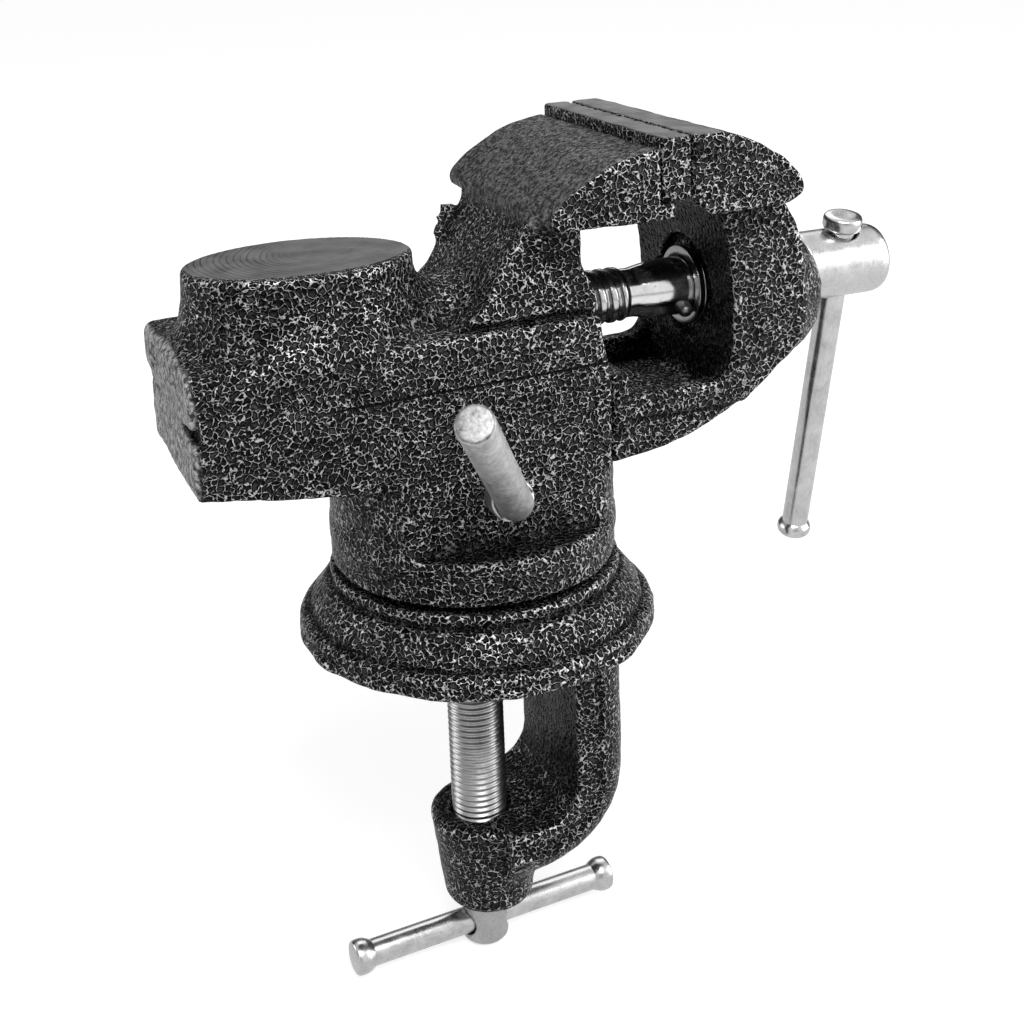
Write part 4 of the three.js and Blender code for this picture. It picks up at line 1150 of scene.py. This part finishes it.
@dataclass
class MovingJaw:
    """Jaw with its wings, wall with the dome, arm with two cheeks, and slide, in one casting."""

    face: float = 34.15
    arm_x: float = 21.15
    arm_z: float = 34.0
    span: float = 39.65
    rise: float = 26.55
    half_width: float = 19.0
    spindle_z: float = SPINDLE_Z
    step: float = 0.5

    def on_arm(self, shares: list[Pair]) -> list[Pair]:
        """Turns shares of the arm's span and rise into places in X and Z."""
        return [(self.arm_x + self.span * along, self.arm_z + self.rise * up) for along, up in shares]

    def head(self, grid: Grid) -> Array:
        """Two wings with a rounded front."""
        outline = [
            (self.face, JAW_TOP), (39.45, JAW_TOP), (44.18, 93.01), (48.2, 91.14), (52.4, 88.69),
            (55.45, 85.95), (56.69, 83.94), (56.95, 82.79), (56.43, 81.49), (55.2, 80.63), (53.45, WING_LOW),
            (37.95, WING_LOW), (self.face, SEAT_LOW),
        ]
        return slab(grid, outline, JAW_HALF, 0.6, 0.6)

    def frame(self, grid: Grid) -> Array:
        """Wall and arm, with the trough between the arm's two cheeks."""
        keel = [(0, 0), (0.18, 0.023), (0.284, 0.049), (0.39, 0.094), (0.496, 0.154), (0.604, 0.233)]
        front = [
            (0.682, 0.301), (0.7226, 0.345), (0.793, 0.41), (0.874, 0.508), (0.955, 0.613), (0.993, 0.714),
            (1, 0.865), (1, 1.203), (0.99, 1.402), (0.955, 1.556), (0.912, 1.673), (0.841, 1.786),
        ]
        inner = [
            (0.541, 1.786), (0.556, 1.654), (0.581, 1.549), (0.614, 1.335), (0.629, 1.053), (0.632, 0.752),
            (0.619, 0.583), (0.576, 0.496), (0.526, 0.474), (0, 0.474),
        ]
        bottom = [*keel, *front[:2], (0.66, 0.43), (0, 0.43)]
        sides = slab(grid, self.on_arm([(0, 0.301), *front, *inner]), self.half_width, 1.0, 1.0)
        floor = slab(grid, self.on_arm(bottom), self.half_width - 1, 1.0, 1.0)
        trough = block(grid, (24.35, -15, 42.0), (46.2, 15, 58), 1.2)
        return carved(filleted(sides, floor, 0.3), trough, 0.9)

    def dome(self, grid: Grid) -> Array:
        """Dome round the spindle, as wide as the wall."""
        return lathe_along(grid, [
            (0, 52), (14.5, 52), (14.5, 60.8), (13.63, 64.3), (12.04, 67.06), (10.15, 69.08), (8.12, 70),
            (0, 70),
        ], (0, self.spindle_z - 2.4), squeeze=17.9 / 14.5, soft=0.8)

    def surface(self) -> Surface:
        """Joins the forms with cast fillets, roughens the skin, and cuts the bore and the recess."""
        grid = Grid((-47.5, -26.5, 32.5), (71.5, 26.5, 96), draft(self.step))
        whole = filleted(self.frame(grid), self.dome(grid), 4.5)
        whole = filleted(whole, self.head(grid), 2.5)
        slide = filleted(
            block(grid, (-46, -12, 42.05), (24.35, 12, 51.05), 0.4),
            block(grid, (21.15, -19, 41.0), (24.35, 19, 51.05), 0.5), 0.4,
        )
        z = self.spindle_z
        bore, recess = rod(grid, (44, 0, z), (73, 0, z), 6.0), rod(grid, (42, 0, z), (47.51, 0, z), 10.2, 0.3)
        bores = np.minimum(bore, recess)
        skin = lumps(grid, 15, 0.12, 11) + lumps(grid, 3.4, 0.05, 12)
        calm = held(np.abs(bores) / 3) * held((JAW_TOP - grid.z) / 2 + 0.25)
        rim = held(1 - np.abs(grid.x - self.face) / 1.6) * held(1 - np.abs(grid.z - JAW_TOP) / 1.6)
        whole = filleted(whole + skin * calm, slide, 0.6) + np.abs(lumps(grid, 3.0, 0.35, 7)) * rim
        surface = FieldMesher(grid, carved(whole, bores, 0.5)).surface()
        x, y, z = surface.corners.T
        # Painted shade inside the wall round the recess; no painted highlight on edges up to just past the
        # jaw's face.
        surface.calmed(between(x, 40, 47) & between(z, 44, 80.2) & (np.abs(y) < self.half_width - 0.7))
        surface.skin["edge"] *= held((x - self.face - 0.6) / 0.6)
        return surface

    def build(self) -> None:
        """Makes and dresses the moving jaw."""
        paint = PaintedIron("jaw_hammertone", (9.0, 23.0, 41.0), **JAW_GRINDING)
        fitted(self.surface(), "moving_jaw", paint, Body.JAW, "moving_jaw_paint", "moving_jaw_casting")


# Screws and handles


@dataclass
class Spindle:
    """Lead screw with its barrel and cross-bored head, its washers and pin, and its sliding handle."""

    z: float = SPINDLE_Z
    head_start: float = 70.3
    head_end: float = 89.7
    head_radius: float = 7.0
    handle_x: float = 80.78
    lean: float = 12.0
    handle_radius: float = 2.75
    handle_low: float = -63.3
    handle_high: float = 7.3
    pin_x: float = 43.31
    pin_tilt: float = 34.0

    def along(self, surface: Surface) -> Surface:
        """Lays a piece that was made about Z along the spindle's axis."""
        return surface.placed(facing((1, 0, 0)), (0, 0, self.z))

    def head(self) -> Surface:
        """Round head with a softly rounded end and the cross hole for the handle."""
        grid = Grid((69, -8.5, 52), (91, 8.5, 69.2), draft(0.36))
        start, end, r = self.head_start, self.head_end, self.head_radius
        body = lathe_along(grid, [
            (0, start), (r - 0.6, start), (r, start + 0.6), (r, end - 2.1), (r - 0.4, end - 0.8),
            (r - 1.6, end), (0, end),
        ], (0, self.z), soft=0.8)
        hole = rod(grid, self.on_handle(-12), self.on_handle(12), self.handle_radius + 0.35)
        return FieldMesher(grid, carved(body, hole, 0.8)).surface()

    def on_handle(self, distance: float) -> Point:
        """A point on the handle's axis, at a distance above the spindle's axis."""
        lean = math.radians(self.lean)
        return self.handle_x, -math.sin(lean) * distance, self.z + math.cos(lean) * distance

    def leaning(self, surface: Surface, distance: float, side: int = 1) -> Surface:
        """Sets a piece that was made about Z on the handle's axis, facing up, or down if the side is -1."""
        lean = math.radians(self.lean)
        way = (0.0, -side * math.sin(lean), side * math.cos(lean))
        return surface.placed(facing(way), self.on_handle(distance))

    def build(self) -> None:
        """Makes and dresses the spindle and its handle."""
        self.screw()
        self.washers()
        tilt = math.radians(self.pin_tilt)
        pin = turned([(0.7, -7.5), (1.25, -7.1), (1.4, -6.4), (1.4, 6.4), (1.25, 7.1), (0.7, 7.5)], 32, 0.4)
        pin = pin.placed(facing((0.0, math.cos(tilt), math.sin(tilt))), (self.pin_x, 0, self.z))
        dull = Steel("pin_plate", 0.22, 0.35)
        fitted(pin, "cross_pin", dull, Body.SPINDLE, "cross_pin_steel", "spindle_cross_pin")
        self.handle()

    def screw(self) -> None:
        """Thread, polished barrel and head."""
        bright = Steel("head_plate", 0.56, 0.24, clouds=0.25, grain=0.2)
        dark = Steel("thread_steel", 0.6, 0.17, clouds=0.3, grain=0.25, stain=0.5, along=(0.4, 1.5, 1.5))
        polished = Steel("barrel_steel", 0.72, 0.1, clouds=0.3, grain=0.15, stain=0.5, along=(0.4, 1.5, 1.5))
        thread = Thread(5.3, 0.75, 2.5, -45, 32.4, sharpness=3.0, run_out=1.5).surface(72, 12)
        barrel = turned([
            (4.2, 31.2), (4.75, 31.7), (4.75, 34.2), (5.0, 35.4), (5.35, 37.4), (5.6, 40.5), (5.65, 44),
            (5.65, self.head_start + 0.3), (4.6, self.head_start + 0.4),
        ], 96, 0.6)
        fitted(self.along(thread), "spindle_thread", dark, Body.SPINDLE, "spindle_steel", "spindle_screw")
        fitted(self.along(barrel), "spindle_barrel", polished, Body.SPINDLE, "spindle_steel")
        fitted(self.head(), "spindle_head", bright, Body.SPINDLE, "spindle_steel")

    def washers(self) -> None:
        """Two washers between the pin and the moving jaw's wall."""
        finish = Steel("washer_plate", 0.3, 0.2, clouds=0.2, grain=0.3, stain=0.5)
        inner, outer, thickness = 5.95, 7.8, 0.95
        for name, low in (("inner", 46.26), ("outer", 45.01)):
            high = low + thickness
            section = softened(np.array([(inner, low), (outer, low), (outer, high), (inner, high)]), 0.25)
            fitted(self.along(hoop(section, 96)), f"washer_{name}", finish, Body.SPINDLE, "washer_steel",
                   f"spindle_washer_{name}")

    def handle(self) -> None:
        """Bar with a swaged cap on each end; the upper one rests on the head."""
        zinc = Steel("handle_plate", 0.54, 0.2, clouds=0.4, grain=0.3, along=(1.2, 1.2, 0.25))
        low, high, r = self.handle_low, self.handle_high, self.handle_radius
        outline = [(r - 0.45, low - 1.5), (r, low - 1.1), (r, high + 1.1), (r - 0.45, high + 1.5)]
        bar = self.leaning(turned(outline, 64), 0)
        fitted(bar, "handle_bar", zinc, Body.HANDLE, "handle_zinc", "spindle_handle_bar")
        upper = [(2.8, -0.2), (3.5, 0.0), (3.8, 0.6), (3.85, 2.1), (3.6, 2.8), (2.7, 3.05), (1.2, 3.0)]
        lower = [(2.6, -0.5), (3.0, -0.1), (3.5, 0.6), (3.62, 1.3), (3.5, 2.2), (2.9, 2.85), (1.6, 3.0)]
        for name, profile, place, side, soft, waver, seed in (
            ("handle_cap_upper", upper, high, 1, 0.4, 0.03, 4),
            ("handle_cap_lower", lower, low, -1, 0.5, 0.02, 9),
        ):
            cap = turned(profile, 72, soft, waver, seed)
            fitted(self.leaning(cap, place, side), name, zinc, Body.HANDLE, "handle_cap_zinc", name)


def hoop(section: Array, steps: int) -> Surface:
    """Carries a closed section of radius and height round the Z axis.

    Corner j of the section stands at the angle 2 pi i / steps on ring i.
    """
    angle = np.arange(steps)[:, None] * 2 * math.pi / steps
    radius, height = section[None, :, 0], section[None, :, 1]
    rings = np.stack([radius * np.cos(angle), radius * np.sin(angle), height + 0 * angle], -1)
    count = len(section)
    i, j = np.meshgrid(np.arange(steps), np.arange(count), indexing="ij")
    here, up = i * count + j, i * count + (j + 1) % count
    turn, turn_up = ((i + 1) % steps) * count + j, ((i + 1) % steps) * count + (j + 1) % count
    return Surface(rings.reshape(-1, 3), np.stack([here, turn, turn_up, up], -1).reshape(-1, 4))


@dataclass
class TableClamp:
    """Clamp screw with its pad and the tee bar that turns it."""

    x: float = CLAMP_X
    end: float = -72.8
    tee_z: float = -68.3
    tee_radius: float = 2.65
    tee_seat: float = 25.65
    turn: float = 4.2

    def tee_way(self) -> Array:
        """Direction of the tee bar, towards its right end."""
        turn = math.radians(self.turn)
        return np.array([math.cos(turn), math.sin(turn), 0.0])

    def head(self) -> Surface:
        """Turned-down head with a chamfered end and the cross hole for the tee bar."""
        grid = Grid((-8.2, -7, -74), (6, 7, -61), draft(0.33))
        low, top = self.end, -62
        outline = [(0, low), (4.0, low), (4.8, low + 0.9), (4.8, top), (0, top)]
        body = lathe_up(grid, outline, (self.x, 0), soft=0.4)
        middle, reach = np.array([self.x, 0, self.tee_z]), self.tee_way() * 9
        hole = rod(grid, tuple(middle - reach), tuple(middle + reach), self.tee_radius + 0.35)
        return FieldMesher(grid, carved(body, hole, 0.6)).surface()

    def build(self) -> None:
        """Makes and dresses the screw, the pad and the tee bar."""
        zinc = Steel("clamp_plate", 0.4, 0.3, clouds=0.2, grain=0.25, stain=0.4)
        middle = (self.x, 0, 0)
        thread = Thread(5.6, 0.5, 1.25, -62.7, -8.5, sharpness=0.8).surface(72, 8).placed(np.eye(3), middle)
        fitted(thread, "clamp_thread", zinc, Body.CLAMP, "clamp_screw_zinc", "clamp_screw")
        fitted(self.head(), "clamp_head", zinc, Body.CLAMP, "clamp_screw_zinc")
        pad = turned([(5.6, -8.2), (7.8, -8.0), (8.5, -7.0), (8.5, -3.6), (8.0, -3.0), (3.0, -3.0)], 72, 0.4)
        fitted(pad.placed(np.eye(3), middle), "clamp_pad", zinc, Body.PAD, "pad_zinc", "clamp_pad")
        self.tee_bar()

    def tee_bar(self) -> None:
        """Tee bar with a swaged cap on each end."""
        zinc = Steel("tee_plate", 0.5, 0.24, clouds=0.35, grain=0.3, along=(0.25, 1.2, 1.2))
        way, middle = self.tee_way(), np.array([self.x, 0, self.tee_z])
        tip, r = self.tee_seat + 1.6, self.tee_radius
        bar = turned([(r - 0.45, -tip), (r, 0.5 - tip), (r, tip - 0.5), (r - 0.45, tip)], 64)
        bar = bar.placed(facing(tuple(way)), middle)
        fitted(bar, "tee_bar", zinc, Body.TEE, "tee_bar_zinc", "clamp_tee_bar")
        profile = [
            (2.5, -0.7), (2.9, -0.1), (3.35, 0.8), (3.5, 1.6), (3.5, 2.7), (3.3, 3.3), (2.9, 3.55),
            (1.0, 3.62),
        ]
        for name, side, seed in (("right", way, 12), ("left", -way, 15)):
            cap = turned(profile, 72, waver=0.02, seed=seed)
            cap = cap.placed(facing(tuple(side)), middle + side * self.tee_seat)
            fitted(cap, f"tee_cap_{name}", zinc, Body.TEE, "tee_cap_zinc", f"tee_bar_cap_{name}")


@dataclass
class SwivelLock:
    """Lock screw with its slanting lever."""

    x: float = LOCK_X
    z: float = LOCK_Z
    front: float = -24.3
    back: float = -19.1
    lean: float = 48.0
    turn: float = 33.5
    length: float = 44.0
    radius: float = 3.25

    def on_rod(self, distance: float) -> Point:
        """A point on the lever's axis, at a distance from the face of the screw's head."""
        lean, turn = math.radians(self.lean), math.radians(self.turn)
        across = math.sin(lean)
        way = np.array([-math.sin(turn) * across, -math.cos(lean), math.cos(turn) * across])
        return tuple(np.array([self.x, self.front, self.z]) + way * distance)

    def head(self) -> Surface:
        """Round head, shank and cone of the screw, with the slanting hole for the lever."""
        grid = Grid((-6.6, -25.6, 27.4), (4.6, -12.8, 38.8), draft(0.33))
        head = rod(grid, (self.x, self.front, self.z), (self.x, self.back, self.z), 4.1, 1.2)
        shank = rod(grid, (self.x, -20, self.z), (self.x, -13.8, self.z), 3.0, 1.2)
        hole = rod(grid, self.on_rod(-1.9), self.on_rod(12), self.radius + 0.25)
        return FieldMesher(grid, carved(np.minimum(head, shank), hole, 0.5)).surface()

    def build(self) -> None:
        """Makes and dresses the screw and its lever."""
        zinc = Steel("lock_plate", 0.5, 0.4, clouds=0.3, grain=0.5, stain=0.3)
        fitted(self.head(), "lock_screw", zinc, Body.LOCK, "lock_zinc", "lock_screw")
        start, end = np.array(self.on_rod(-1.6)), np.array(self.on_rod(self.length))
        way = (end - start) / np.linalg.norm(end - start)
        sawn = Steel("lock_rod_plate", 0.54, 0.45, clouds=0.3, grain=0.55, stain=0.3, along=(0.5, 0.5, 0.5),
                     end=(tuple(way), float(way @ end) - 0.35, 0.5))
        tip, r = self.length + 1.6, self.radius
        bar = turned([(r - 0.65, 0), (r, 0.5), (r, tip - 0.5), (r - 0.3, tip - 0.05), (1.4, tip)], 72, 0.35)
        bar = bar.placed(facing(tuple(way)), start)
        fitted(bar, "lock_lever", sawn, Body.LOCK, "lock_rod_zinc", "lock_lever_rod")


# Studio


@dataclass(frozen=True)
class Studio:
    """Camera of the photograph, pale floor, lamps and world.

    Lengths are in millimetres. A lamp has a name, a place in metres, a power and a side in metres. The
    floor's glow is what the camera sees of it near the vise and far off, and its gloss what metal sees.
    """

    target: Point = (0.16, -0.15, 59.71)
    distance: float = 281.16
    azimuth: float = -20.46
    elevation: float = 16.22
    roll: float = -2.54
    lens: float = 53.62
    shift: Pair = (0.0460, -0.1865)
    floor_z: float = -73.2
    floor_half: float = 6000.0
    floor_tone: float = 0.5
    floor_glow: Pair = (0.7, 0.92)
    glow_reach: Pair = (150.0, 900.0)
    floor_gloss: float = 0.4
    fill: float = 0.11
    aim: Point = (0, 0, 0.03)
    lamps: tuple[tuple[str, Point, float, float], ...] = (
        ("key", (-0.1, -0.5, 0.7), 5.8, 0.4), ("right", (0.78, -0.38, 0.28), 7.0, 0.7),
        ("side", (-0.72, 0.42, 0.2), 1.9, 0.4), ("back", (0.3, 0.6, 0.6), 1.2, 0.5),
    )

    def camera(self) -> None:
        """Sets the camera from its angles about the target."""
        azimuth, elevation, roll = (math.radians(a) for a in (self.azimuth, self.elevation, self.roll))
        level = math.cos(elevation)
        back = Vector((math.sin(azimuth) * level, -math.cos(azimuth) * level, math.sin(elevation)))
        right = Vector((0, 0, 1)).cross(back).normalized()
        up = back.cross(right)
        turned_right = right * math.cos(roll) + up * math.sin(roll)
        turned_up = up * math.cos(roll) - right * math.sin(roll)
        data = bpy.data.cameras.new("camera")
        data.sensor_width, data.lens = 36, self.lens
        data.shift_x, data.shift_y = self.shift
        data.clip_start, data.clip_end = 0.01, 50
        camera = bpy.data.objects.new("camera", data)
        bpy.context.scene.collection.objects.link(camera)
        matrix = Matrix((turned_right, turned_up, back)).transposed().to_4x4()
        matrix.translation = (Vector(self.target) + back * self.distance) * MM
        camera.matrix_world = matrix
        bpy.context.scene.camera = camera

    def lamp(self, name: str, place: Point, power: float, size: float) -> None:
        """Adds a square soft lamp that faces the vise.

        Args:
            name: name of the lamp.
            place: where it stands, in metres.
            power: its power, in watts.
            size: its side, in metres.
        """
        data = bpy.data.lights.new(name, "AREA")
        data.energy, data.size = power, size
        lamp = bpy.data.objects.new(name, data)
        lamp.location = place
        lamp.rotation_euler = (Vector(place) - Vector(self.aim)).to_track_quat("Z", "Y").to_euler()
        bpy.context.scene.collection.objects.link(lamp)

    def world(self) -> None:
        """White where the camera sees it, softboxes where metal mirrors it, and a faint fill for the rest.

        The softboxes are upright stripes round the horizon, weaker behind the vise, and all white overhead.
        """
        world = bpy.data.worlds.new("studio")
        world.use_nodes = True
        bpy.context.scene.world = world
        w = Wiring(world.node_tree)
        world.node_tree.nodes.clear()
        path = w.node("ShaderNodeLightPath").outputs
        seen = w.math("MAXIMUM", path["Is Camera Ray"], path["Is Transmission Ray"])
        x, y, z = w.split(w.node("ShaderNodeTexCoord").outputs["Generated"])
        stripes = w.math("SINE", w.plus(w.times(w.math("ARCTAN2", y, x), 5.0), 1.2))
        front = w.ranged(w.plus(y, w.times(x, 0.35)), 0.35, -0.5, (0.15, 1.0))
        softboxes = w.times(w.ranged(stripes, -0.6, 0.2, (0.5, 1.0)), front)
        gloss = w.math("MAXIMUM", softboxes, w.ranged(z, 0.5, 0.8))
        strength = w.mixed(seen, w.mixed(path["Is Glossy Ray"], self.fill, gloss), 1.0)
        background = w.filled("ShaderNodeBackground", {"Color": (1, 1, 1, 1), "Strength": strength})
        w.filled("ShaderNodeOutputWorld", {"Surface": background.outputs[0]})

    def floor(self) -> None:
        """A wide pale floor under the tee bar, which glows for the camera and for mirrored rays only."""
        half, z = self.floor_half, self.floor_z
        points = np.array([(-half, -half, z), (half, -half, z), (half, half, z), (-half, half, z)])
        floor = Surface(points, np.array([[0, 1, 2, 3]])).mesh_object("floor")
        material, w, principled = shader("floor_white")
        values = {"Base Color": (*[self.floor_tone] * 3, 1), "Roughness": 0.9, "Specular IOR Level": 0.0,
                  "Emission Color": (1, 1, 1, 1)}
        for name, value in values.items():
            principled.inputs[name].default_value = value
        path = w.node("ShaderNodeLightPath").outputs
        seen = w.times(path["Is Camera Ray"],
                       w.ranged(w.vector("LENGTH", w.place()), *self.glow_reach, self.floor_glow))
        mirrored = w.times(path["Is Glossy Ray"], self.floor_gloss)
        w.feed(principled.inputs["Emission Strength"], w.math("MAXIMUM", seen, mirrored))
        floor.data.materials.append(material)

    def build(self) -> None:
        """Sets up the whole studio."""
        bpy.context.scene.view_settings.view_transform = "Standard"
        self.camera()
        self.world()
        for lamp in self.lamps:
            self.lamp(*lamp)
        self.floor()


def main() -> None:
    """Builds the studio and the vise."""
    logging.basicConfig(level=logging.INFO, format="%(name)s: %(message)s")
    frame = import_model()
    Studio().build()
    for part in (SwivelBase(), ViseBody(), MovingJaw(), Spindle(), TableClamp(), SwivelLock()):
        part.build()
    hidden = Steel("inner_steel", 0.3, 0.3)
    for node in ("spindle_nut", "jaw_plate_screw_near", "jaw_plate_screw_far"):
        dressed(frame["nodes"][node], hidden)
    bpy.context.view_layer.update()


if __name__ == "__main__":
    main()
